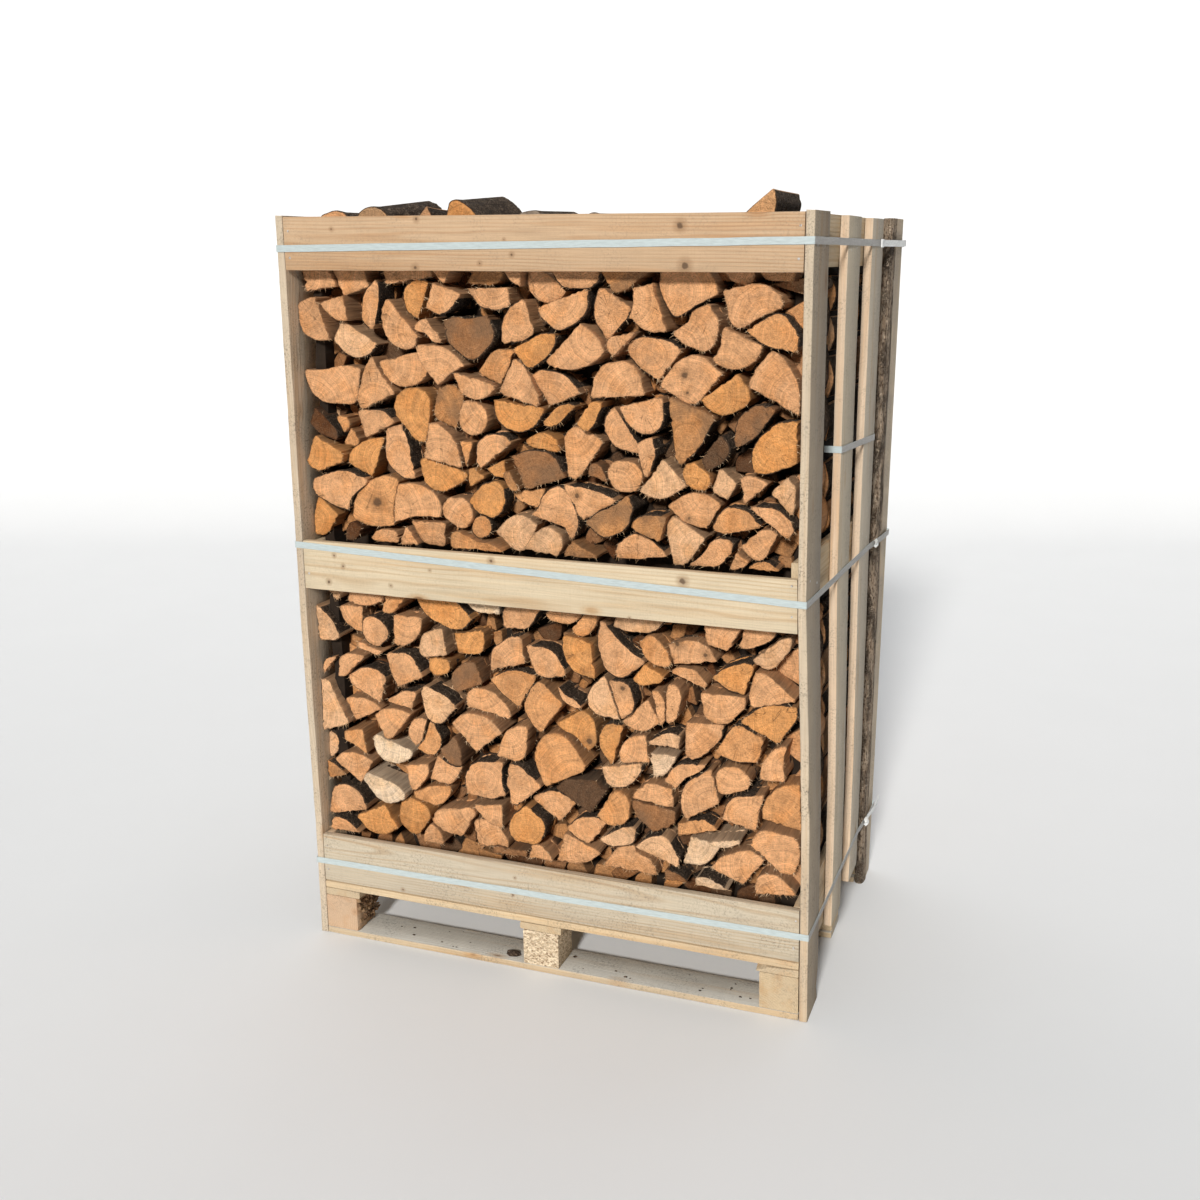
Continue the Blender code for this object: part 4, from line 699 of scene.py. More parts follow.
class FIREWOOD_OT_bark_slab(bpy.types.Operator):
    """The rough slab with bark on it that serves as the right back post"""
    bl_idname = "firewood.bark_slab"
    bl_label = "Bark Slab Post"

    def execute(self, context):
        rng = random.Random(7)
        waves = [rng.uniform(-0.006, 0.004) for _ in range(10)]
        inner, outer = WIDTH - BOARD, WIDTH - BOARD + 0.024
        levels = np.linspace(0.0, HEIGHT, 90)
        shape = Shape()
        points, grain, edge, faces, slots = [], [], [], [], []
        wood = (*looks().slat_colour, 0.0)
        for k, z in enumerate(levels):
            step = z / HEIGHT * 9
            front = DEPTH - 0.1055 + float(np.interp(step, range(10), waves))
            front += 0.018 * max(0.0, 1.0 - step)
            rough = [0.0016 * wave(31 + i, z, 38.0) + 0.0009 * wave(61 + i, z, 130.0) for i in range(12)]
            lip = 0.010 * (0.5 + 0.5 * wave(77, z, 9.0))
            section = [(inner + 0.0003, DEPTH - 0.0006), (inner + 0.0003, front + 0.020),
                       (inner + 0.0006, front + 0.004), (inner + 0.006, front - 0.0005),
                       (inner + 0.012, front - 0.002), (outer - 0.007, front - 0.001),
                       (outer - 0.0035, front + 0.006), (outer - 0.0016, front + 0.015),
                       (outer - 0.0010, front + 0.026 + lip), (outer - 0.0030, front + 0.028 + lip),
                       (outer - 0.0030, DEPTH - 0.0014), (outer - 0.005, DEPTH - 0.0006)]
            for i, (x, y) in enumerate(section):
                shift = rough[i] if 2 <= i <= 8 else 0.2 * rough[i]
                x = min(x - abs(shift) * (0.6 if i > 4 else 0.0), outer)
                points.append(placed(x, min(y + shift, DEPTH - 0.0005), z))
                grain.append((x - inner + 0.02, z + 3.0, y - front - 0.05))
                edge.append((0.3 if k in (0, len(levels) - 1) else 0.0, 0.8, 0.4))
        ring = 12
        for k in range(len(levels) - 1):
            for i in range(ring):
                j = (i + 1) % ring
                faces.append((k * ring + j, k * ring + i, (k + 1) * ring + i, (k + 1) * ring + j))
                slots.append(1 if 2 <= i <= 8 else 0)
        faces += [tuple(range(ring)), tuple((len(levels) - 1) * ring + i for i in range(ring))[::-1]]
        slots += [0, 0]
        turned = [(g[1], g[0], g[2]) for g in grain]
        shape.add(points, faces, slots, grain, wood, edge)
        piece = shape.finish("corner_post_back_bark", [finish("slab"), finish("slab_bark")],
                             ["corner_post_back_right"], "bark_edged_slab")
        layer = piece.data.attributes.new("length_grain", 'FLOAT_VECTOR', 'POINT')
        layer.data.foreach_set("vector", np.asarray(turned, np.float32).ravel())
        return {'FINISHED'}


# Logs

def rounded(corners, spacing=0.011):
    """A log's outline with blunt corners well rounded; gives the points and how much bark is on each."""
    corners = [np.asarray(c, float) for c in corners]
    points, bark = [], []
    for i, b in enumerate(corners):
        a, c = corners[i - 1], corners[(i + 1) % len(corners)]
        ab, bc = np.linalg.norm(b - a), np.linalg.norm(c - b)
        turn = np.clip(np.dot(a - b, c - b) / max(ab * bc, 1e-9), -1.0, 1.0)
        blunt = min(max((math.degrees(math.acos(turn)) - 112.0) / 26.0, 0.0), 1.0)
        reach = min(0.0035 + blunt * 0.06, 0.46 * min(ab, bc))
        start, end = b + (a - b) / ab * reach, b + (c - b) / bc * reach
        steps = 5 if blunt > 0.3 else 3
        for t in np.linspace(0.0, 1.0, steps):
            points.append((1 - t) ** 2 * start + 2 * t * (1 - t) * b + t * t * end)
            bark.append(blunt)
    full, share = [], []
    for i, point in enumerate(points):
        following = points[(i + 1) % len(points)]
        gap = np.linalg.norm(following - point)
        if gap < 0.0018:
            continue
        parts = max(1, int(gap / spacing + 0.5))
        for k in range(parts):
            full.append(point + (following - point) * k / parts)
            share.append(bark[i] + (bark[(i + 1) % len(bark)] - bark[i]) * k / parts)
    full, share = np.array(full), np.array(share)
    if signed_area(full) < 0:
        full, share = full[::-1], share[::-1]
    return full, share


def signed_area(outline):
    x, z = outline[:, 0], outline[:, 1]
    return 0.5 * float(np.sum(x * np.roll(z, -1) - np.roll(x, -1) * z))


def heart_of(outline, bark, rng):
    """Where the middle of the tree was: the centre of the barked arc, or off to one side."""
    centre = outline.mean(axis=0)
    size = math.sqrt(abs(signed_area(outline)))
    arc = outline[bark > 0.5]
    if len(arc) >= 5:
        rows = np.column_stack([2 * arc, np.ones(len(arc))])
        answer = np.linalg.lstsq(rows, (arc ** 2).sum(axis=1), rcond=None)[0]
        spot = answer[:2]
        if np.linalg.norm(spot - centre) < 0.95 * size:
            return spot
    angle = rng.uniform(0, 2 * math.pi)
    return centre + np.array((math.cos(angle), math.sin(angle))) * size * rng.uniform(0.5, 0.9)


def swollen(outline, amount):
    """The outline moved outwards everywhere by an amount, one for all or one for each point."""
    run = np.roll(outline, -1, axis=0) - np.roll(outline, 1, axis=0)
    run /= np.maximum(np.linalg.norm(run, axis=1, keepdims=True), 1e-6)
    way = np.column_stack([run[:, 1], -run[:, 0]])
    return outline + way * np.broadcast_to(amount, len(outline))[:, None], way


def add_log(shape, corners, y_front, y_back, tint, rng, carry=None, barked=None, both=False, wear=0.0,
            spacing=0.011, grow=0.0, ragged=0.0):
    """A split log lying along y: sawn ends, split faces and barked ones, no two points quite even.

    carry moves a point of the front outline to where it is further back; both shows the far end too.
    """
    outline, bark = rounded(corners, spacing)
    if grow or ragged:
        uneven = [grow - ragged * abs(rng.gauss(0.0, 1.0)) * (1.0 - 0.5 * share) for share in bark]
        outline, outward = swollen(outline, np.array(uneven))
    if barked is not None:
        bark = np.clip(bark * 2.0, 0, 1) * barked
    count = len(outline)
    centre = outline.mean(axis=0)
    size = float(np.linalg.norm(outline - centre, axis=1).mean())
    heart = heart_of(outline, bark, rng)
    own, start = rng.random(), rng.uniform(0, 30)
    out = outline - centre
    out /= np.maximum(np.linalg.norm(out, axis=1, keepdims=True), 1e-6)
    along = np.sign(y_back - y_front)
    length = abs(y_back - y_front)
    tilt = np.array((rng.uniform(-0.05, 0.05), rng.uniform(-0.06, 0.06)))
    slope = (outline - centre) @ tilt
    lowest = slope.min()
    ripple = np.array([noise.noise(Vector((p[0] * 90, p[1] * 90, start))) for p in outline])
    ridge = np.array([noise.noise(Vector((p[0] * 160, p[1] * 160, start + 9))) for p in outline])
    torn = np.array([rng.uniform(0, 1) ** 3 for _ in range(count)])
    rings = []

    def ring(shrink, depth, rough, plane, torn_back=0.0):
        spots = centre + (outline - centre) * shrink - out * (rough * (0.5 + 0.5 * ripple))[:, None]
        if depth > 0.012:
            grain_wave = np.array([noise.noise(Vector((i * 0.7, depth * 14, start + 20)))
                                   for i in range(count)])
            spots = spots - out * (0.0016 * bark * (1 + ridge) + 0.0007 * (1 + grain_wave))[:, None]
        y = y_front + along * (depth + plane * (slope * shrink - lowest) + torn_back * torn)
        rings.append((spots, y, depth))

    ring(0.70, 0.0002, 0.0, 1.0)
    ring(1.0 - 0.0042 / size, 0.0, 0.0006, 1.0)
    ring(1.0, 0.0010, 0.0011, 1.0, 0.0022)
    ring(1.0, 0.0055, 0.0007, 0.8)
    for depth in np.linspace(0.03, length - 0.006, 3 if both else 2):
        ring(1.0, depth, 0.0006, 0.0)
    if both:
        ring(1.0, length - 0.0012, 0.0011, 0.0)
        ring(1.0 - 0.0042 / size, length, 0.0006, 0.0)
    else:
        ring(1.0, length, 0.0006, 0.0)

    points, grain, tints, edges = [], [], [], []

    def put(spot, y, rim, share):
        x, z = (float(spot[0]), float(spot[1])) if carry is None else carry(spot[0], spot[1], y)
        points.append((x - CENTRE[0], y - CENTRE[1], z))
        grain.append((spot[0] - heart[0], y + start, spot[1] - heart[1]))
        tints.append((*tint, share))
        edges.append((rim, wear, own))

    rims = {0: 0.0, 1: 0.25, 2: 1.0}
    for k, (spots, y, depth) in enumerate(rings):
        last_rim = 0.25 if both and k == len(rings) - 1 else 1.0
        for i in range(count):
            put(spots[i], float(y[i]), rims.get(k, last_rim), float(bark[i]))
    faces, slots = [], []
    for k in range(len(rings) - 1):
        for i in range(count):
            j = (i + 1) % count
            face = (k * count + i, k * count + j, (k + 1) * count + j, (k + 1) * count + i)
            faces.append(face if along < 0 else face[::-1])
            is_end = k < 2 or (both and k == len(rings) - 2)
            slots.append(0 if is_end else (2 if bark[i] + bark[j] > 0.9 else 1))
    for k, first in ((0, True), (len(rings) - 1, False)):
        spots, y, depth = rings[k]
        hub = len(points)
        put(spots.mean(axis=0), float(np.mean(y)), 0.0, 0.0)
        for i in range(count):
            j = (i + 1) % count
            face = (k * count + i, k * count + j, hub)
            outward = first == (along > 0)
            faces.append(face if outward else face[::-1])
            slots.append(0)
    shape.add(points, faces, slots, grain, tints, edges)
    return [(points[2 * count + i], float(bark[i]), (float(out[i][0]), float(out[i][1])))
            for i in range(count)]


def end_outlines(node, way):
    """Outlines of the log ends that stand proud of a CAD row, each with its own depth."""
    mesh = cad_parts[node].data
    groups = {}
    for face in mesh.polygons:
        if face.normal.y * way > 0.995:
            corners = [mesh.vertices[i].co for i in face.vertices]
            groups.setdefault(round(sum(c.y for c in corners) / len(corners), 5), []).append(corners)
    found = []
    for depth, faces in sorted(groups.items()):
        sides, spots = {}, {}
        for corners in faces:
            keys = [(round(c.x, 5), round(c.z, 5)) for c in corners]
            for key, corner in zip(keys, corners):
                spots[key] = (corner.x + CENTRE[0], corner.z)
            for a, b in zip(keys, keys[1:] + keys[:1]):
                if (b, a) in sides:
                    del sides[(b, a)]
                else:
                    sides[(a, b)] = True
        following = {a: b for a, b in sides}
        while following:
            first = next(iter(following))
            loop, here = [first], following.pop(first)
            while here != first and here in following:
                loop.append(here)
                here = following.pop(here)
            outline = np.array([spots[key] for key in loop])
            if 3 <= len(loop) < 40 and 0.00012 < abs(signed_area(outline)) < 0.03:
                found.append((outline, depth + CENTRE[1]))
    return found


def tidy(outline):
    """The outline without points that lie on a straight line between their neighbours."""
    points = [np.array(p) for p in outline]
    k = 0
    while k < len(points) and len(points) > 3:
        a, b, c = points[k - 1], points[k], points[(k + 1) % len(points)]
        d, e = c - a, b - a
        if abs(d[0] * e[1] - d[1] * e[0]) < 0.0006 * np.linalg.norm(d) or np.linalg.norm(b - a) < 0.003:
            points.pop(k)
        else:
            k += 1
    return points


def end_tint(x, z, rng, front):
    """Colour and wear of a log end: marked ones as they are in the stack, the others varied."""
    if front:
        gap, best = min((math.hypot(a / 1000 - x, b / 1000 - z), i)
                        for i, (_, spots) in enumerate(MARKED_ENDS) for a, b in spots)
        base = MARKED_ENDS[best][0] if gap < 0.022 else TAN
        return varied(base, rng, 0.035), 0.8 if base in (DIM, BROWN, DARK) else rng.choice((0.0, 0.1, 0.3))
    roll = rng.random()
    base = TAN if roll < 0.52 else LIGHT if roll < 0.70 else WARM if roll < 0.88 else ORANGE
    return varied(base, rng, 0.07), rng.choice((0.0, 0.0, 0.15, 0.4))


def log_edges(rng, start, end):
    """Where one log stops and the next begins, along a side or the top of the stack."""
    edges = [start]
    while end - edges[-1] > 1.6 * LOG_SIZE[0]:
        edges.append(min(edges[-1] + rng.uniform(*LOG_SIZE), end))
    if end - edges[-1] > 0.3 * LOG_SIZE[0]:
        edges.append(end)
    else:
        edges[-1] = end
    return list(zip(edges, edges[1:]))


def side_logs(rng):
    """Logs that show at one side of a row: how far out each reaches, and its lower and upper edge."""
    found = []
    for low, high in SIDE_BAYS:
        for start, end in log_edges(rng, low, high):
            found.append((STACK_INNER - rng.uniform(0.007, 0.0165), start, end))
    return found


def row_logs(node):
    """Logs at the right side, the left side and the top of a row, as the CAD row has them."""
    rng = random.Random(ROW_SEEDS[node])
    right, left = side_logs(rng), side_logs(rng)
    top = [(ROW_TOP - rng.uniform(0.0, 0.012), start, end)
           for start, end in log_edges(rng, STACK_INNER + 0.004, WIDTH - STACK_INNER - 0.004)]
    return right, left, top


def gaps(found, rng):
    """Middles and sizes of the gaps between log ends, where deeper logs show."""
    starts = np.concatenate([outline for outline, _ in found])
    ends = np.concatenate([np.roll(outline, -1, axis=0) for outline, _ in found])
    run = ends - starts
    rise = np.where(run[:, 1] == 0, 1e-9, run[:, 1])
    length = np.maximum((run ** 2).sum(axis=1), 1e-9)
    gap_list = []
    for low, high in BAY_HEIGHTS:
        for z in np.arange(low, high, 0.013):
            for x in np.arange(0.055, WIDTH - 0.055 + lean(WIDTH, z), 0.013):
                spot = np.array((x, z)) + (rng.uniform(-0.004, 0.004), rng.uniform(-0.004, 0.004))
                if any(math.hypot(*(spot - other)) < 1.4 * reach for other, reach in gap_list):
                    continue
                share = np.clip(((spot - starts) * run).sum(axis=1) / length, 0.0, 1.0)
                clear = float(np.linalg.norm(starts + run * share[:, None] - spot, axis=1).min())
                crossings = (starts[:, 1] > spot[1]) != (ends[:, 1] > spot[1])
                at = starts[:, 0] + run[:, 0] * (spot[1] - starts[:, 1]) / rise
                if clear < 0.0065 or np.count_nonzero(crossings & (at > spot[0])) % 2:
                    continue
                gap_list.append((spot, min(clear + 0.012, 0.034)))
    return gap_list


FRINGE = []


class FIREWOOD_OT_log_ends(bpy.types.Operator):
    """Split logs whose sawn ends show at the front and at the back"""
    bl_idname = "firewood.log_ends"
    bl_label = "Log Ends, Front and Back"

    def execute(self, context):
        for side, way, node in (("front", -1, "firewood_row_front"), ("back", 1, "firewood_row_back")):
            rng = random.Random(looks().log_seed + way)
            found = end_outlines(node, way)
            if len(found) < 60:
                raise RuntimeError(f"{len(found)} log ends were found at the {side}")
            bays = {"upper": Shape(), "lower": Shape()}
            for outline, depth in found:
                outline = tidy(outline)
                x, z = np.mean(outline, axis=0)
                tint, wear = end_tint(x, z, rng, side == "front")
                far = (ROW_ENDS[1] - 0.004) if side == "front" else (ROW_ENDS[2] + 0.005)

                def carry(px, pz, y, base=depth):
                    return px - lean(px, pz) * (y - base) / DEPTH, pz

                bay = bays["upper" if z > BAY_PARTING else "lower"]
                left_edge, right_edge = min(px for px, _ in outline), max(px for px, _ in outline)
                if left_edge < 0.045 or right_edge > WIDTH - 0.045 + lean(WIDTH, z):
                    far = 0.100 if side == "front" else DEPTH - 0.100
                fine = side == "front"
                rims = add_log(bay, outline, depth, far, tint, rng, carry, wear=wear,
                               barked=1.0 if rng.random() < 0.5 else 0.3, spacing=0.0066 if fine else 0.013,
                               grow=0.0026, ragged=0.0016 if fine else 0.0006)
                torn = rng.random() ** 1.5
                FRINGE.extend((point, bark, out, way, torn) for point, bark, out in rims)
            plane, deeper = ROW_ENDS[0] if side == "front" else ROW_ENDS[3], Shape()
            for spot, reach in gaps(found, rng):
                turns = sorted(rng.uniform(0, 2 * math.pi) for _ in range(5))
                turns = [0.6 * turn + 0.4 * 2 * math.pi * k / 5 for k, turn in enumerate(turns)]
                corners = [spot + reach * rng.uniform(0.8, 1.15) * np.array((math.cos(a), math.sin(a)))
                           for a in turns]
                depth = plane - way * rng.uniform(0.003, 0.018)
                # At the front the deeper logs take darker tints: painted shade for the shadow that the log
                # ends around them cast into the gaps.
                deep = (BROWN, DIM, DARK, SOOTY, DIM) if side == "front" else (BROWN, DIM, WARM, TAN, DIM)
                tint = varied(rng.choice(deep), rng, 0.1)
                add_log(deeper, corners, depth, plane - way * 0.052, tint,
                        rng, lambda px, pz, y, base=depth: (px - lean(px, pz) * (y - base) / DEPTH, pz),
                        wear=0.5, barked=1.0 if rng.random() < 0.6 else 0.3, spacing=0.020)
            deeper.finish(f"deeper_logs_{side}", [finish("end"), finish("split"), finish("bark")], [node],
                          "split_log_wood", 38.0)
            for bay, shape in bays.items():
                shape.finish(f"log_ends_{side}_{bay}", [finish("end"), finish("split"), finish("bark")],
                             [node], "split_log_wood", 38.0)
        return {'FINISHED'}


class FIREWOOD_OT_stack(bpy.types.Operator):
    """Logs that show between the slats and along the top, and the dark inside of the stack"""
    bl_idname = "firewood.stack"
    bl_label = "Sides and Top of the Stack"

    def execute(self, context):
        spans = dict(zip(ROW_SEEDS, zip(ROW_ENDS, ROW_ENDS[1:])))

        def askew(middle, across, up):
            """Carries the outline back through the leaning crate, running a little askew."""
            return lambda px, pz, y: (px + lean(px, pz) * (1.0 - y / DEPTH) + across * (y - middle),
                                      pz + up * (y - middle))

        for node, (y_front, y_back) in spans.items():
            shape, rng = Shape(), random.Random(looks().log_seed + ROW_SEEDS[node])
            right, left, top = row_logs(node)
            for logs, mirrored in ((right, True), (left, False)):
                for outer, low, high in logs:
                    third, deep = (high - low) / 3, STACK_INNER + rng.uniform(0.035, 0.075)
                    corners = [(STACK_INNER, low + 0.003), (outer, low + third),
                               (outer + 0.001, high - third), (STACK_INNER, high - 0.003),
                               (deep, high - rng.uniform(0.2, 0.8) * (high - low))]
                    if mirrored:
                        corners = [(WIDTH - x, z) for x, z in corners]
                    tint, wear = end_tint(corners[0][0], low, rng, False)
                    carry = askew((y_front + y_back) / 2, 0.0, rng.uniform(-0.035, 0.035))
                    add_log(shape, corners, y_front + 0.0015 + rng.uniform(0, 0.006),
                            y_back - 0.0015 - rng.uniform(0, 0.006), tint, rng, carry,
                            barked=1.0 if rng.random() < 0.42 else 0.0, both=True, wear=wear)
            for crest, start, end in top:
                third = (end - start) / 3
                foot = crest - rng.uniform(0.060, 0.085)
                corners = [(start + 0.002, crest - 0.022), (start + third, crest),
                           (end - third, crest - 0.002), (end - 0.001, crest - 0.022),
                           (start + rng.uniform(0.3, 0.7) * (end - start), foot)]
                tint, wear = end_tint(start, crest, rng, False)
                carry = askew((y_front + y_back) / 2, rng.uniform(-0.04, 0.04), 0.0)
                add_log(shape, corners, y_front + 0.0015 + rng.uniform(0, 0.008),
                        y_back - 0.0015 - rng.uniform(0, 0.008), tint, rng, carry,
                        barked=1.0 if rng.random() < 0.6 else 0.0, both=True, wear=wear)
            label = node.replace("firewood_row", "stack_logs")
            shape.finish(label, [finish("end"), finish("split"), finish("bark")], [node],
                         "split_log_wood", 38.0)
        self.core()
        return {'FINISHED'}

    def core(self):
        """Rough dark bodies behind the logs, so that no light comes through the stack."""
        shape = Shape()
        for low, high, steps in LUMPS:
            self.lump(shape, low, high, steps)
        shape.finish("stack_inside", [finish("hollow")], ["firewood_row_middle"], "log_bark")

    def lump(self, shape, low, high, steps):
        """A block between two corners whose sides are made of uneven squares."""
        points, index, faces = [], {}, []

        def corner(i, j, k):
            key = (i, j, k)
            if key not in index:
                spot = [low[a] + (high[a] - low[a]) * key[a] / steps[a] for a in range(3)]
                push = noise.noise(Vector(spot) * 17.0) * 0.010
                index[key] = len(points)
                points.append(placed(spot[0] + push * 0.5, spot[1] + push, spot[2] + push * 0.5))
            return index[key]

        for axis in range(3):
            u, v = [a for a in range(3) if a != axis]
            for end in (0, steps[axis]):
                for a in range(steps[u]):
                    for b in range(steps[v]):
                        quad = []
                        for da, db in ((0, 0), (1, 0), (1, 1), (0, 1)):
                            key = [0, 0, 0]
                            key[axis], key[u], key[v] = end, a + da, b + db
                            quad.append(corner(*key))
                        outward = (end > 0) == (axis != 1)
                        faces.append(tuple(quad if outward else quad[::-1]))
        shape.add(points, faces, 0, points, (*DARK, 1.0), (0, 0, 0))


class FIREWOOD_OT_loose_logs(bpy.types.Operator):
    """Loose logs lying on top of the stack"""
    bl_idname = "firewood.loose_logs"
    bl_label = "Loose Logs"

    def execute(self, context):
        tints = {"loose_log_left": TAN, "loose_log_bark_left": (0.50, 0.30, 0.16), "loose_log_small": TAN,
                 "loose_log_bark_middle": ORANGE, "loose_slab_wide": (0.36, 0.31, 0.26),
                 "loose_slab_short": (0.26, 0.20, 0.15), "loose_log_right": (0.66, 0.36, 0.17)}
        for i, (node, base) in enumerate(tints.items()):
            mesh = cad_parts[node].data
            rng = random.Random(500 + i)
            low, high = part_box(node)
            ends = {}
            for name, y in (("front", low.y), ("back", high.y)):
                spots = {(round(v.co.x, 4), round(v.co.z, 4)): v.co for v in mesh.vertices
                         if abs(v.co.y - y) < 1e-4}
                points = np.array([(v.x + CENTRE[0], v.z) for v in spots.values()])
                middle = points.mean(axis=0)
                order = np.argsort(np.arctan2(points[:, 1] - middle[1], points[:, 0] - middle[0]))
                ends[name] = points[order]
            front, back = ends["front"], ends["back"]
            foot = front[:, 1].min()
            middle = np.array((front[:, 0].mean(), foot))
            grow = (back[:, 0].max() - back[:, 0].min()) / (front[:, 0].max() - front[:, 0].min())
            grown_front = middle + (front - middle) * grow
            shift = back.min(axis=0) - grown_front.min(axis=0)
            y0, y1 = low.y + CENTRE[1], high.y + CENTRE[1]

            def carry(px, pz, y):
                t = (y - y0) / (y1 - y0)
                spot = middle + (np.array((px, pz)) - middle) * (1 + (grow - 1) * t) + shift * t
                return float(spot[0]), float(spot[1])

            shape = Shape()
            clean = "bark" in node or node in ("loose_log_left", "loose_log_right")
            add_log(shape, list(front), y0 + 0.0003, y1 - 0.0003, varied(base, rng, 0.05), rng, carry,
                    barked=1.0 if "bark" in node else None, both=True, wear=0.1 if clean else 0.8)
            shape.finish(node.replace("loose", "top"), [finish("end"), finish("split"), finish("bark")],
                         [node], "log_bark" if "bark" in node else "split_log_wood", 38.0)
        return {'FINISHED'}


# What repeats or follows a path, made with node trees

def new_tree(name, inputs):
    """An empty node tree for a modifier, with a geometry socket each way and named inputs."""
    tree = bpy.data.node_groups.new(name, 'GeometryNodeTree')
    tree.interface.new_socket("Geometry", in_out='INPUT', socket_type='NodeSocketGeometry')
    tree.interface.new_socket("Geometry", in_out='OUTPUT', socket_type='NodeSocketGeometry')
    for label, kind, default in inputs:
        socket = tree.interface.new_socket(label, in_out='INPUT', socket_type=kind)
        if default is not None:
            socket.default_value = default
    return tree, tree.nodes.new('NodeGroupInput'), tree.nodes.new('NodeGroupOutput')


def tree_node(tree, kind, links, **settings):
    item = tree.nodes.new(kind)
    for key, value in settings.items():
        setattr(item, key, value)
    for key, value in links.items():
        if isinstance(value, bpy.types.NodeSocket):
            tree.links.new(value, item.inputs[key])
        else:
            item.inputs[key].default_value = value
    return item


def band_tree():
    """Sweeps a flat rectangle along a path, keeping it on edge."""
    tree, start, end = new_tree("Band Along Path", (
        ("Band Width", 'NodeSocketFloat', 0.0135), ("Band Thickness", 'NodeSocketFloat', 0.0009),
        ("Material", 'NodeSocketMaterial', None)))
    curve = tree_node(tree, 'GeometryNodeMeshToCurve', {"Mesh": start.outputs["Geometry"]})
    upright = tree_node(tree, 'GeometryNodeSetCurveNormal', {"Curve": curve.outputs[0]}, mode='Z_UP')
    section = tree_node(tree, 'GeometryNodeCurvePrimitiveQuadrilateral',
                        {"Width": start.outputs["Band Thickness"], "Height": start.outputs["Band Width"]})
    swept = tree_node(tree, 'GeometryNodeCurveToMesh',
                      {"Curve": upright.outputs[0], "Profile Curve": section.outputs[0],
                       "Fill Caps": True})
    flat = tree_node(tree, 'GeometryNodeSetShadeSmooth',
                     {"Geometry": swept.outputs[0], "Shade Smooth": False})
    whole = tree_node(tree, 'GeometryNodeRealizeInstances', {"Geometry": flat.outputs[0]})
    coated = tree_node(tree, 'GeometryNodeSetMaterial',
                       {"Geometry": whole.outputs[0], "Material": start.outputs["Material"]})
    tree.links.new(coated.outputs[0], end.inputs[0])
    return tree


def scatter_tree():
    """Puts a turned and resized copy of a small shape on every point, aimed by the point's own aim."""
    tree, start, end = new_tree("Shape On Points", (
        ("Shape", 'NodeSocketObject', None), ("Smallest", 'NodeSocketFloat', 0.8),
        ("Largest", 'NodeSocketFloat', 1.2), ("Seed", 'NodeSocketInt', 1),
        ("Material", 'NodeSocketMaterial', None)))
    thing = tree_node(tree, 'GeometryNodeObjectInfo', {"Object": start.outputs["Shape"]},
                      transform_space='ORIGINAL')
    aim = tree_node(tree, 'GeometryNodeInputNamedAttribute', {"Name": "aim"}, data_type='FLOAT_VECTOR')
    turned = tree_node(tree, 'FunctionNodeAlignRotationToVector', {"Vector": aim.outputs[0]}, axis='Z')
    spin = tree_node(tree, 'FunctionNodeRandomValue', {2: 0.0, 3: 6.283, "Seed": start.outputs["Seed"]},
                     data_type='FLOAT')
    rolled = tree_node(tree, 'FunctionNodeAxisAngleToRotation',
                       {"Axis": (0, 0, 1), "Angle": spin.outputs[1]})
    both = tree_node(tree, 'FunctionNodeRotateRotation',
                     {"Rotation": turned.outputs[0], "Rotate By": rolled.outputs[0]},
                     rotation_space='LOCAL')
    size = tree_node(tree, 'FunctionNodeRandomValue',
                     {2: start.outputs["Smallest"], 3: start.outputs["Largest"],
                      "Seed": start.outputs["Seed"]}, data_type='FLOAT')
    copies = tree_node(tree, 'GeometryNodeInstanceOnPoints',
                       {"Points": start.outputs["Geometry"], "Instance": thing.outputs["Geometry"],
                        "Rotation": both.outputs[0], "Scale": size.outputs[1]})
    whole = tree_node(tree, 'GeometryNodeRealizeInstances', {"Geometry": copies.outputs[0]})
    coated = tree_node(tree, 'GeometryNodeSetMaterial',
                       {"Geometry": whole.outputs[0], "Material": start.outputs["Material"]})
    tree.links.new(coated.outputs[0], end.inputs[0])
    return tree


def grown(name, points, edges, tree, values, aims=None):
    """Run a node tree on points or a path and keep the result as a plain mesh."""
    mesh = bpy.data.meshes.new(name)
    mesh.from_pydata(points, edges, [])
    if aims is not None:
        layer = mesh.attributes.new("aim", 'FLOAT_VECTOR', 'POINT')
        layer.data.foreach_set("vector", np.asarray(aims, np.float32).ravel())
    source = bpy.data.objects.new(name, mesh)
    bpy.context.scene.collection.objects.link(source)
    modifier = source.modifiers.new("Grow", 'NODES')
    modifier.node_group = tree
    sockets = {item.name: item.identifier for item in tree.interface.items_tree
               if item.item_type == 'SOCKET' and item.in_out == 'INPUT'}
    for label, value in values.items():
        modifier[sockets[label]] = value
    depsgraph = bpy.context.evaluated_depsgraph_get()
    result = bpy.data.meshes.new_from_object(source.evaluated_get(depsgraph))
    source.modifiers.clear()
    bpy.data.objects.remove(source)
    result.name = name
    # How much each face looks along x; the strap finish turns this into grey painted shade.
    layer = result.attributes.new("side", 'FLOAT', 'FACE')
    layer.data.foreach_set("value", [abs(face.normal.x) ** 4 for face in result.polygons])
    return bpy.data.objects.new(name, result)


def small_shape(name, points, faces):
    """A little mesh that is only copied, never shown itself."""
    mesh = bpy.data.meshes.new(name)
    mesh.from_pydata(points, [], faces)
    return bpy.data.objects.new(name, mesh)


def round_corner(path, k, reach):
    """Four points that turn a path's corner on a small arc."""
    a, b, c = path[k - 1], path[k], path[(k + 1) % len(path)]
    start = b + (a - b) / np.linalg.norm(a - b) * reach
    end = b + (c - b) / np.linalg.norm(c - b) * reach
    return [(1 - t) ** 2 * start + 2 * t * (1 - t) * b + t * t * end for t in (0.0, 0.33, 0.67, 1.0)]


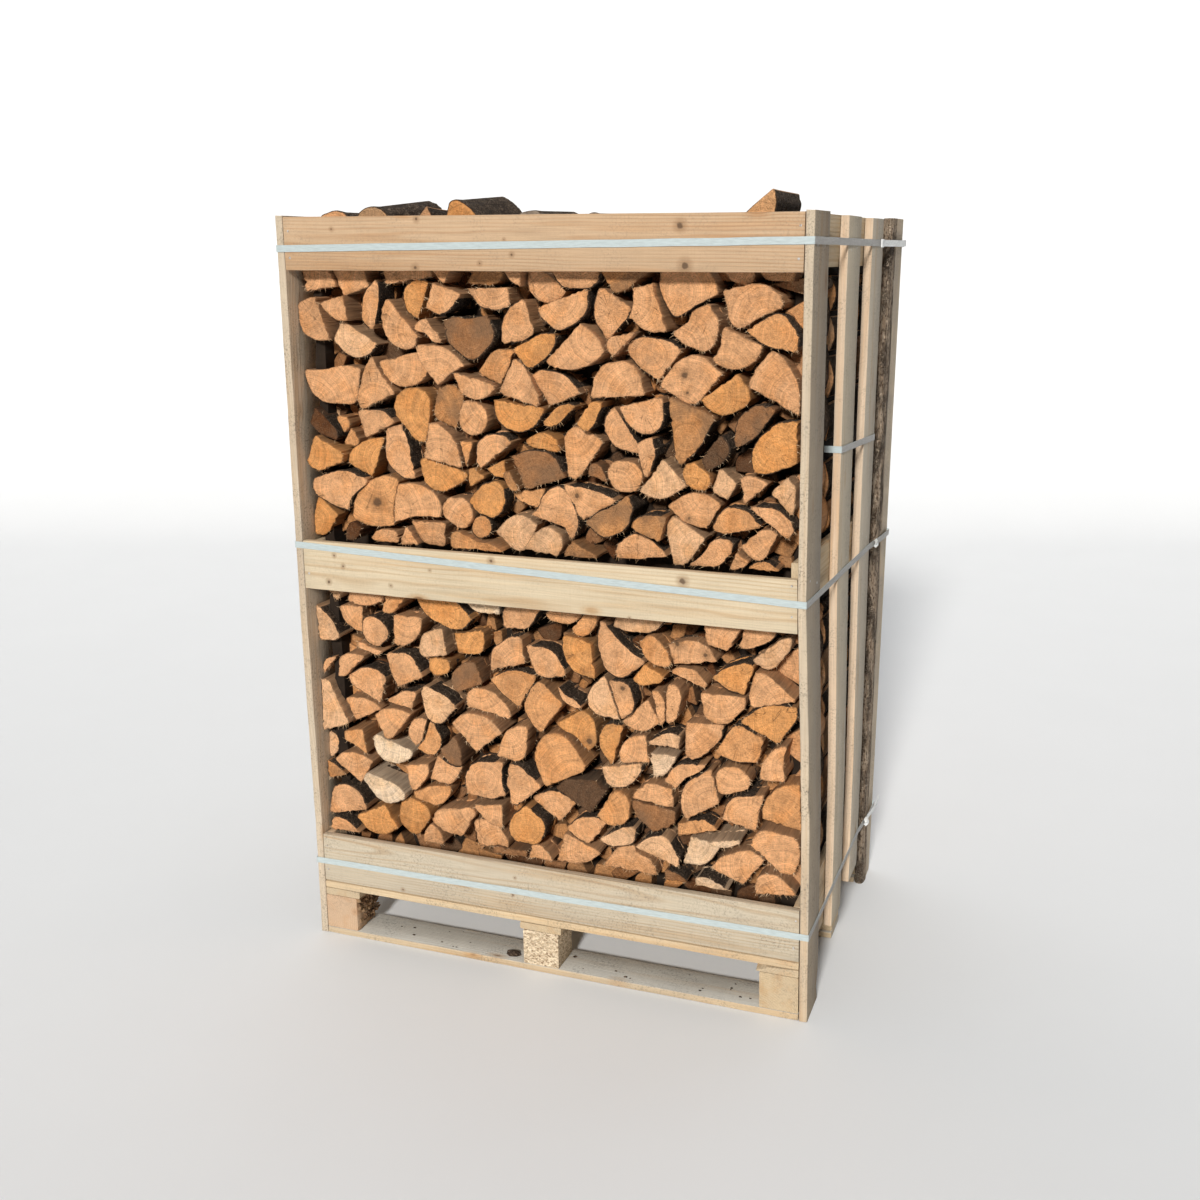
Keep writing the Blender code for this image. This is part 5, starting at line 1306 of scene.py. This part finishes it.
def even_path(path, closed, reach=0.0022, step=0.035, seed=0):
    """A path with rounded corners, and points between them that wander a fraction of a millimetre."""
    points = []
    count = len(path)
    for k in range(count):
        inside = closed or 0 < k < count - 1
        points += round_corner(path, k, reach) if inside else [path[k]]
        if not closed and k == count - 1:
            break
        here, there = points[-1], path[(k + 1) % count]
        length = np.linalg.norm(there - here) - reach
        parts = int(length / step)
        for i in range(1, parts):
            spot = here + (there - here) / np.linalg.norm(there - here) * length * i / parts
            lift = 0.0004 * wave(seed, float(spot[0] + spot[1]), 12.0)
            points.append(spot + np.array((0.0, 0.0, 2.0 * lift)))
    return [tuple(p) for p in points]


class FIREWOOD_OT_straps(bpy.types.Operator):
    """Straps round the crate, their seals, knot and free ends, and the short ties on the sides"""
    bl_idname = "firewood.straps"
    bl_label = "Straps"

    def execute(self, context):
        tree = band_tree()
        off, slat_end = STRAP_OFF, SLAT_EDGES[1] - 0.0003
        for i, (name, (fl, fr, br, bl)) in enumerate(LOOPS.items()):
            slope = (br - fr) / DEPTH
            path = [(-off, -off, fl), (WIDTH + off, -off, fr),
                    (WIDTH + off, slat_end, fr + slope * slat_end),
                    (SLAB_FACE + off, DEPTH - 0.0755, fr + slope * (DEPTH - 0.1055)),
                    (SLAB_FACE + off, DEPTH + off, br), (-off, DEPTH + off, bl)]
            points = even_path([np.array(placed(*p)) for p in path], True, seed=i)
            edges = [(k, (k + 1) % len(points)) for k in range(len(points))]
            piece = grown(f"strap_loop_{name}", points, edges, tree,
                          {"Band Width": STRAP_WIDTH, "Band Thickness": STRAP_THICK,
                           "Material": finish("strap")})
            settled(piece, [f"strap_{name}"])
        near, far, inward = SLAT_EDGES[0] - 0.0005, SLAT_EDGES[1] + 0.0005, 2 * BOARD - STRAP_OFF
        ties = {"right": [(WIDTH - inward, near, 1.102), (WIDTH + off, near, 1.102),
                          (WIDTH + off, far, 1.090), (WIDTH - inward, far, 1.090)],
                "left": [(inward, far, 1.090), (-off, far, 1.090), (-off, near, 1.102),
                         (inward, near, 1.102)]}
        for i, (side, path) in enumerate(ties.items()):
            points = even_path([np.array(placed(*p)) for p in path], False, seed=9 + i)
            edges = [(k, k + 1) for k in range(len(points) - 1)]
            piece = grown(f"tie_{side}", points, edges, tree,
                          {"Band Width": STRAP_WIDTH, "Band Thickness": STRAP_THICK,
                           "Material": finish("strap")})
            settled(piece, [f"cross_tie_{side}"])
        self.ends(tree)
        return {'FINISHED'}

    def ends(self, tree):
        """Seals, knot and the ends left hanging, where the CAD has them."""
        def clip(name, node, turns, bulge):
            low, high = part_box(node)
            middle, span = (low + high) / 2, high - low
            points = []
            for k in range(turns * 8 + 1):
                t = k / (turns * 8)
                angle = t * turns * 2 * math.pi
                points.append((middle.x + span.x * 0.30 * math.cos(angle),
                               low.y + span.y * (0.15 + 0.70 * t),
                               middle.z + span.z * bulge * math.sin(angle)))
            edges = [(k, k + 1) for k in range(len(points) - 1)]
            piece = grown(name, points, edges, tree, {"Band Width": span.z * 0.42, "Band Thickness": 0.0007,
                                                      "Material": finish("clip")})
            settled(piece, [node])

        clip("seal_middle", "strap_seal_middle", 2, 0.22)
        clip("knot_lower", "strap_knot_lower", 3, 0.24)
        low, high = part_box("strap_seal_top")
        shape = Shape()
        points, faces = [], []
        ribs = 22
        for k in range(ribs + 1):
            y = low.y + (high.y - low.y) * k / ribs
            bump = 0.0004 * (1 + math.cos(2 * math.pi * k / ribs * 5)) + (0.0008 if k in (0, ribs) else 0.0)
            for x, z in ((low.x, low.z + 0.001), (high.x - bump, low.z + 0.0015),
                         (high.x - bump, high.z - 0.0015), (low.x, high.z - 0.001)):
                points.append((x, y, z))
        for k in range(ribs):
            for i in range(4):
                j = (i + 1) % 4
                faces.append((k * 4 + j, k * 4 + i, (k + 1) * 4 + i, (k + 1) * 4 + j))
        faces += [(0, 1, 2, 3), tuple(ribs * 4 + i for i in (3, 2, 1, 0))]
        shape.add(points, faces, 0, points, (0.8, 0.8, 0.8, 0), (0, 0, 0))
        shape.finish("seal_top", [finish("clip")], ["strap_seal_top"], "strap_plastic", 30.0)
        seal, bulge = WIDTH + 0.0016, SLAB_FACE + 0.0018
        tails = {"top": ([(seal + 0.0012, 0.5520, 1.4935), (bulge + 0.0005, 0.640, 1.4935),
                          (bulge + 0.0030, 0.700, 1.4935), (bulge + 0.0025, 0.7365, 1.4945)],
                         STRAP_WIDTH, STRAP_THICK),
                 "lower": ([(bulge + 0.0022, 0.6235, 0.186), (bulge + 0.0080, 0.660, 0.190),
                            (bulge + 0.0105, 0.705, 0.193), (bulge + 0.0090, 0.7345, 0.194)],
                           0.0093, 0.0013)}
        for name, (path, width, thick) in tails.items():
            points = even_path([np.array(placed(*p)) for p in path], False, 0.012, 0.03, 20)
            edges = [(k, k + 1) for k in range(len(points) - 1)]
            piece = grown(f"strap_tail_{name}", points, edges, tree,
                          {"Band Width": width, "Band Thickness": thick, "Material": finish("clip")})
            settled(piece, [f"strap_end_{name}"])


# Small things

def splinter_points(rng, rims):
    """Places and directions for the slivers that stand off the sawn edges, most where the saw came out."""
    spots, aims = [], []
    for (x, y, z), bark, out, way, torn in rims:
        low = 0.5 - 0.5 * out[1]
        amount = (0.10 + 1.5 * torn) * (0.20 + low) * (1.0 - 0.6 * bark) * (1.3 if way < 0 else 0.5)
        for _ in range(int(amount + rng.random())):
            spots.append((x - 0.0015 * out[0] + rng.uniform(-0.0025, 0.0025),
                          y + way * rng.uniform(-0.0012, 0.0008),
                          z - 0.0015 * out[1] + rng.uniform(-0.002, 0.002)))
            aims.append((out[0] + rng.uniform(-0.8, 0.8), way * rng.uniform(0.0, 0.9),
                         out[1] + rng.uniform(-0.8, 0.4)))
    return spots, aims


class FIREWOOD_OT_splinters(bpy.types.Operator):
    """Slivers of wood along the sawn edges of the log ends"""
    bl_idname = "firewood.splinters"
    bl_label = "Slivers"

    def execute(self, context):
        rng = random.Random(looks().splinter_seed)
        spots, aims = splinter_points(rng, FRINGE)
        if not spots:
            raise RuntimeError("the log ends come before the slivers")
        low, high = CAD_BOX[0][1] + 0.0085, CAD_BOX[1][1] - 0.0085
        kept = [(p, a) for p, a in zip(spots, aims) if low < p[1] < high]
        sliver = small_shape("sliver", [(-0.00045, 0, 0), (0.00045, 0.0001, 0), (0, -0.0004, 0),
                                        (0.0009, 0.0001, 0.0088)],
                             [(1, 0, 3), (2, 1, 3), (0, 2, 3), (0, 1, 2)])
        piece = grown("log_slivers", [p for p, a in kept], [], scatter_tree(),
                      {"Shape": sliver, "Smallest": 0.3, "Largest": 1.2, "Seed": looks().splinter_seed,
                       "Material": finish("splinter")}, [a for p, a in kept])
        settled(piece, [])
        bpy.data.objects.remove(sliver)
        return {'FINISHED'}


class FIREWOOD_OT_nails(bpy.types.Operator):
    """Nail heads in the boards, the posts and the slats"""
    bl_idname = "firewood.nails"
    bl_label = "Nails"

    def execute(self, context):
        rng = random.Random(looks().nail_seed)
        spots, aims = [], []

        def nail(x, y, z, aim):
            spots.append(placed(x, y, z))
            aims.append(aim)

        for side, way in (("front", -1), ("back", 1)):
            for level in LEVELS:
                (y0, y1), (z0, z1) = limits_of(f"{side}_board_{level}")
                y = y0 + 0.0004 if way < 0 else y1 - 0.0004
                for x in (ACROSS[0] + 0.010, ACROSS[1] - 0.009):
                    for share in NAIL_SHARES[level]:
                        nail(x + rng.uniform(-0.002, 0.002), y,
                             z0 + (z1 - z0) * share + rng.uniform(-0.003, 0.003), (0, way, 0))
        for side, way, x in (("left", -1, 0.0004), ("right", 1, WIDTH - 0.0004)):
            names = [f"side_slat_{side}_1", f"side_slat_{side}_2", f"corner_post_front_{side}"]
            if side == "left":
                names.append("corner_post_back_left")
            for name in names:
                y0, y1 = limits_of(name)[0]
                for level in LEVELS:
                    z0, z1 = limits_of(f"side_board_{side}_{level}")[1]
                    for share in (0.28, 0.72):
                        nail(x, y0 + (y1 - y0) * share + rng.uniform(-0.006, 0.006),
                             (z0 + z1) / 2 + rng.uniform(-0.018, 0.018), (way, 0, 0))
        ring = [(math.cos(a), math.sin(a)) for a in np.linspace(0, 2 * math.pi, 9)[:-1]]
        points = [(0.0031 * u, 0.0031 * v, -0.0004) for u, v in ring]
        points += [(0.0031 * u, 0.0031 * v, 0.0001) for u, v in ring]
        points += [(0.0024 * u, 0.0024 * v, 0.0004) for u, v in ring]
        faces = [(k * 8 + i, k * 8 + (i + 1) % 8, (k + 1) * 8 + (i + 1) % 8, (k + 1) * 8 + i)
                 for k in (0, 1) for i in range(8)]
        faces += [tuple(range(16, 24)), tuple(range(8))[::-1]]
        head = small_shape("nail_head", points, faces)
        piece = grown("nail_heads", spots, [], scatter_tree(),
                      {"Shape": head, "Smallest": 0.70, "Largest": 0.95, "Seed": looks().nail_seed,
                       "Material": finish("nail")}, aims)
        settled(piece, [])
        bpy.data.objects.remove(head)
        return {'FINISHED'}


# The pallet

class FIREWOOD_OT_pallet(bpy.types.Operator):
    """Pallet underneath: bottom boards, blocks, stringers and deck boards"""
    bl_idname = "firewood.pallet"
    bl_label = "Pallet"

    def execute(self, context):
        pale = tuple(looks().pallet_colour)
        bottom, deck = Shape(), Shape()
        for i, place in enumerate(PALLET_ROWS):
            y, z = limits_of(f"pallet_bottom_board_{place}")
            tint = varied(pale, random.Random(201 + i), 0.04)
            # Their top and bottom faces take a paler grey tint: painted light that lifts the crate's shade
            # on their tops.
            sawn_board(bottom, (ACROSS, y, z), 0, tint, 0.75, 200 + 9 * i, other=(0.60, 0.585, 0.54))
        bottom.finish("pallet_bottom_boards", [finish("pallet")],
                      [f"pallet_bottom_board_{place}" for place in PALLET_ROWS], "pallet_wood")
        for i in range(5):
            y, z = limits_of(f"pallet_deck_board_{i + 1}")
            tint = varied(pale, random.Random(231 + i), 0.06)
            sawn_board(deck, (ACROSS, y, z), 0, tint, 0.6, 230 + 9 * i)
        deck.finish("pallet_deck_boards", [finish("pallet")],
                    [f"pallet_deck_board_{i + 1}" for i in range(5)], "pallet_wood")

        def broken(place, a, b):
            """A chunk gone from the top left corner of the front end of the right stringer."""
            return (0.022, 0.0035) if a == 0 and b == 1 and place < 0.018 else (0.0, 0.0)

        def torn(place, a, b):
            """Ragged right face of the front left block, where it split."""
            return (0.0045 * (0.4 + wave(5 + b, place, 60.0)) if a == 1 else 0.0, 0.0)

        stringers = Shape()
        for i, column in enumerate(COLUMNS):
            y, z = limits_of(f"pallet_stringer_{column}")
            tint = varied(pale, random.Random(260 + i), 0.05)
            sawn_board(stringers, (self.between_posts(column, STRINGER_WIDTH), y, z), 1, tint, 0.6,
                       260 + 9 * i, notch=broken if column == "right" else None)
        stringers.finish("pallet_stringers", [finish("pallet")],
                         [f"pallet_stringer_{column}" for column in COLUMNS], "pallet_wood")
        sawn, chips, sawn_names, chip_names = Shape(), Shape(), [], []
        for i, column in enumerate(COLUMNS):
            x = self.between_posts(column, BLOCK_WIDTH)
            for j, row in enumerate(PALLET_ROWS):
                node = f"pallet_block_{row}_{column}"
                y, z = limits_of(node)
                pressed = column == "middle"
                tint = varied(pale, random.Random(290 + 3 * i + j), 0.06)
                split = torn if node == "pallet_block_front_left" else None
                if split:
                    tint = (pale[0] * 0.98, pale[1] * 0.86, pale[2] * 0.84)
                sawn_board(chips if pressed else sawn, (x, y, z), 1, tint, 0.5, 300 + 13 * i + 5 * j,
                           worn=0.0012, step=0.008, notch=split)
                (chip_names if pressed else sawn_names).append(node)
        sawn.finish("pallet_blocks_sawn", [finish("pallet")], sawn_names, "pallet_block_wood")
        chips.finish("pallet_blocks_pressed", [finish("chip")], chip_names, "pressed_chip_block")
        self.torn_block()
        self.debris()
        return {'FINISHED'}

    def between_posts(self, column, width):
        """Left and right side of what stands in a column, kept clear of the posts."""
        middle = COLUMNS[column]
        return max(middle - width / 2, BOARD + 0.0006), min(middle + width / 2, WIDTH - BOARD - 0.0006)

    def torn_block(self):
        """Chunks and slivers standing off the right face of the front left block, where it split."""
        rng, shape = random.Random(77), Shape()
        for _ in range(46):
            y, z = rng.uniform(0.0012, 0.080), rng.uniform(0.026, 0.090)
            long, wide = rng.uniform(0.008, 0.024), rng.uniform(0.002, 0.006)
            out = rng.uniform(0.001, 0.0085)
            x = 0.0955 - 0.004
            ring = []
            for k in range(4):
                share = k / 3
                back, stands = y + long * share, out * (1 - 0.7 * share)
                width = wide * (1.0 - 0.75 * share) * rng.uniform(0.8, 1.2)
                ring.append([(x, back, z - width), (x + 0.004 + stands, back, z - 0.3 * width),
                             (x + 0.004 + 0.7 * stands, back, z + width), (x, back, z + width)])
            points = [placed(*p) for section in ring for p in section]
            faces = [(k * 4 + i, k * 4 + (i + 1) % 4, (k + 1) * 4 + (i + 1) % 4, (k + 1) * 4 + i)
                     for k in range(3) for i in range(4)]
            faces += [(3, 2, 1, 0), (12, 13, 14, 15)]
            tint = rng.choice(((0.36, 0.20, 0.10), (0.24, 0.13, 0.065), (0.52, 0.33, 0.18)))
            shape.add(points, faces, 0, points, (*tint, 0.0), (0, 0.3, 0.5))
        shape.finish("torn_block_slivers", [finish("split")], [], "pallet_block_wood", 20.0)

    def debris(self):
        """Crumbs of bark and wood lying on the bottom board, clear of the blocks."""
        rng, shape = random.Random(looks().crumb_seed), Shape()
        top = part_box("pallet_bottom_board_front")[1].z + 0.0003
        crumbs = [(0.458, 0.026, 0.0135, DARK), (0.587, 0.060, 0.0035, DARK), (0.715, 0.018, 0.0030, BROWN)]
        crumbs += [(rng.uniform(0.12, 0.98), rng.uniform(0.010, 0.080), rng.uniform(0.0010, 0.0026), BROWN)
                   for _ in range(26)]
        for x, y, size, tint in crumbs:
            if any(abs(x - middle) < 0.046 + size for middle in COLUMNS.values()):
                continue
            turn, count = rng.uniform(0, math.pi), 7
            points, faces = [], []
            for level, share in ((0.0, 1.0), (0.35, 0.85), (0.6, 0.35)):
                for k in range(count):
                    angle = turn + 2 * math.pi * k / count
                    reach = size * share * rng.uniform(0.7, 1.2)
                    points.append(placed(x + reach * 1.5 * math.cos(angle), y + reach * math.sin(angle),
                                         top + level * size))
            for level in (0, 1):
                for k in range(count):
                    j = (k + 1) % count
                    faces.append((level * count + k, level * count + j, (level + 1) * count + j,
                                  (level + 1) * count + k))
            faces += [tuple(range(count))[::-1], tuple(range(2 * count, 3 * count))]
            shape.add(points, faces, 0, points, (*tint, 1.0), (0, 0, 0))
        shape.finish("bark_crumbs", [finish("bark")], [], "log_bark")


# The stage

class FIREWOOD_OT_stage(bpy.types.Operator):
    """Floor, backdrop, light and camera"""
    bl_idname = "firewood.stage"
    bl_label = "Stage"

    def execute(self, context):
        scene = context.scene
        mesh = bpy.data.meshes.new("floor")
        profile = [(-7.0, 0.0), (4.0, 0.0)]
        profile += [(4.0 + 2.0 * math.sin(a), 2.0 - 2.0 * math.cos(a))
                    for a in np.linspace(0.1, math.pi / 2, 12)]
        profile += [(6.0, 8.0)]
        yaw = math.radians(looks().view_yaw)
        points, faces = [], []
        for far, up in profile:
            for side in (-12.0, 12.0):
                points.append((side * math.cos(yaw) - far * math.sin(yaw),
                               side * math.sin(yaw) + far * math.cos(yaw), up))
        for k in range(len(profile) - 1):
            faces.append((2 * k, 2 * k + 1, 2 * k + 3, 2 * k + 2))
        mesh.from_pydata(points, [], faces)
        mesh.shade_smooth()
        floor = bpy.data.objects.new("floor", mesh)
        scene.collection.objects.link(floor)
        make = Finish("floor_paper", 0.95)
        place = make.node('ShaderNodeTexCoord', out="Object")
        tone = make.noise(place, 3.0, 2.0)
        mesh.materials.append(make.end(make.mix(tone, (0.755, 0.770, 0.790), (0.775, 0.790, 0.810))))

        light = bpy.data.lights.new("sun", 'SUN')
        light.energy, light.angle = looks().sun_strength, math.radians(8.0)
        light.color = (1.0, 0.97, 0.92)
        sun = bpy.data.objects.new("sun", light)
        side, height = math.radians(-5.0), math.radians(25.0)
        source = Vector((-math.sin(side) * math.cos(height), -math.cos(side) * math.cos(height),
                         math.sin(height)))
        sun.rotation_euler = source.to_track_quat('Z', 'Y').to_euler()
        scene.collection.objects.link(sun)
        light = bpy.data.lights.new("sky", 'SUN')
        light.energy, light.angle = looks().sky_strength, math.radians(60.0)
        scene.collection.objects.link(bpy.data.objects.new("sky", light))

        world = scene.world or bpy.data.worlds.new("studio")
        scene.world = world
        world.use_nodes = True
        back = world.node_tree.nodes.get("Background") or world.node_tree.nodes.new('ShaderNodeBackground')
        back.inputs[0].default_value = (1.0, 0.985, 0.96, 1.0)
        back.inputs[1].default_value = looks().fill_strength

        lens = bpy.data.cameras.new("view")
        lens.lens, lens.sensor_width = looks().view_lens, 36.0
        lens.clip_end = 60.0
        camera = bpy.data.objects.new("view", lens)
        pitch = math.radians(looks().view_pitch)
        forward = Vector((-math.sin(yaw) * math.cos(pitch), math.cos(yaw) * math.cos(pitch),
                          -math.sin(pitch)))
        camera.location = (0.97244, -2.7339, 1.4691)
        camera.rotation_euler = forward.to_track_quat('-Z', 'Y').to_euler()
        scene.collection.objects.link(camera)
        scene.camera = camera
        scene.view_settings.view_transform = 'Standard'
        return {'FINISHED'}


OPERATORS = (FIREWOOD_OT_pallet, FIREWOOD_OT_rails, FIREWOOD_OT_uprights, FIREWOOD_OT_bark_slab,
             FIREWOOD_OT_log_ends, FIREWOOD_OT_stack, FIREWOOD_OT_loose_logs, FIREWOOD_OT_straps,
             FIREWOOD_OT_splinters, FIREWOOD_OT_nails, FIREWOOD_OT_stage)


class FirewoodCrateLooks(bpy.types.PropertyGroup):
    """What can be changed about the crate's looks."""
    board_colour: FloatVectorProperty(
        name="Board Colour", description="Wood of the horizontal boards", subtype='COLOR', size=3,
        min=0.0, max=1.0, default=(0.56, 0.445, 0.300))
    slat_colour: FloatVectorProperty(
        name="Slat Colour", description="Wood of the posts and upright slats", subtype='COLOR', size=3,
        min=0.0, max=1.0, default=(0.56, 0.46, 0.340))
    pallet_colour: FloatVectorProperty(
        name="Pallet Colour", description="Wood of the pallet", subtype='COLOR', size=3,
        min=0.0, max=1.0, default=(0.58, 0.455, 0.300))
    strap_colour: FloatVectorProperty(
        name="Strap Colour", description="Plastic of the straps", subtype='COLOR', size=3,
        min=0.0, max=1.0, default=(0.50, 0.575, 0.585))
    log_seed: IntProperty(
        name="Log Variation", description="Gives other colours and grain to the logs", default=5, min=0)
    splinter_seed: IntProperty(
        name="Sliver Variation", description="Gives other slivers on the log ends", default=3, min=0)
    nail_seed: IntProperty(
        name="Nail Variation", description="Moves the nails a little", default=4, min=0)
    crumb_seed: IntProperty(
        name="Crumb Variation", description="Moves the crumbs on the pallet", default=8, min=0)
    sun_strength: FloatProperty(
        name="Sun", description="Strength of the sun", default=3.5, min=0.0)
    sky_strength: FloatProperty(
        name="Sky", description="Strength of the soft light from above", default=0.8, min=0.0)
    fill_strength: FloatProperty(
        name="Fill", description="Strength of the light from all around", default=0.090, min=0.0)
    view_yaw: FloatProperty(
        name="View Yaw", description="Degrees that the camera is turned to the left", default=19.98)
    view_pitch: FloatProperty(
        name="View Pitch", description="Degrees that the camera looks down", default=14.37)
    view_lens: FloatProperty(
        name="Focal Length", description="Millimetres on a 36 mm sensor", default=40.38, min=10.0)


class FIREWOOD_PT_panel(bpy.types.Panel):
    """Lists the steps that dress the crate"""
    bl_idname = "FIREWOOD_PT_panel"
    bl_label = "Crate of Firewood"
    bl_space_type = 'VIEW_3D'
    bl_region_type = 'UI'
    bl_category = "Firewood"

    def draw(self, context):
        for label in FirewoodCrateLooks.__annotations__:
            self.layout.prop(context.scene.firewood_crate, label)
        for operator in OPERATORS:
            self.layout.operator(operator.bl_idname)


CLASSES = (FirewoodCrateLooks, *OPERATORS, FIREWOOD_PT_panel)


def register():
    for item in CLASSES:
        bpy.utils.register_class(item)
    bpy.types.Scene.firewood_crate = PointerProperty(type=FirewoodCrateLooks)


def unregister():
    del bpy.types.Scene.firewood_crate
    for item in reversed(CLASSES):
        bpy.utils.unregister_class(item)


def main():
    register()
    for operator in OPERATORS:
        group, name = operator.bl_idname.split(".")
        if getattr(getattr(bpy.ops, group), name)() != {'FINISHED'}:
            raise RuntimeError(f"{operator.bl_label} did not finish")


if __name__ == "__main__":
    main()
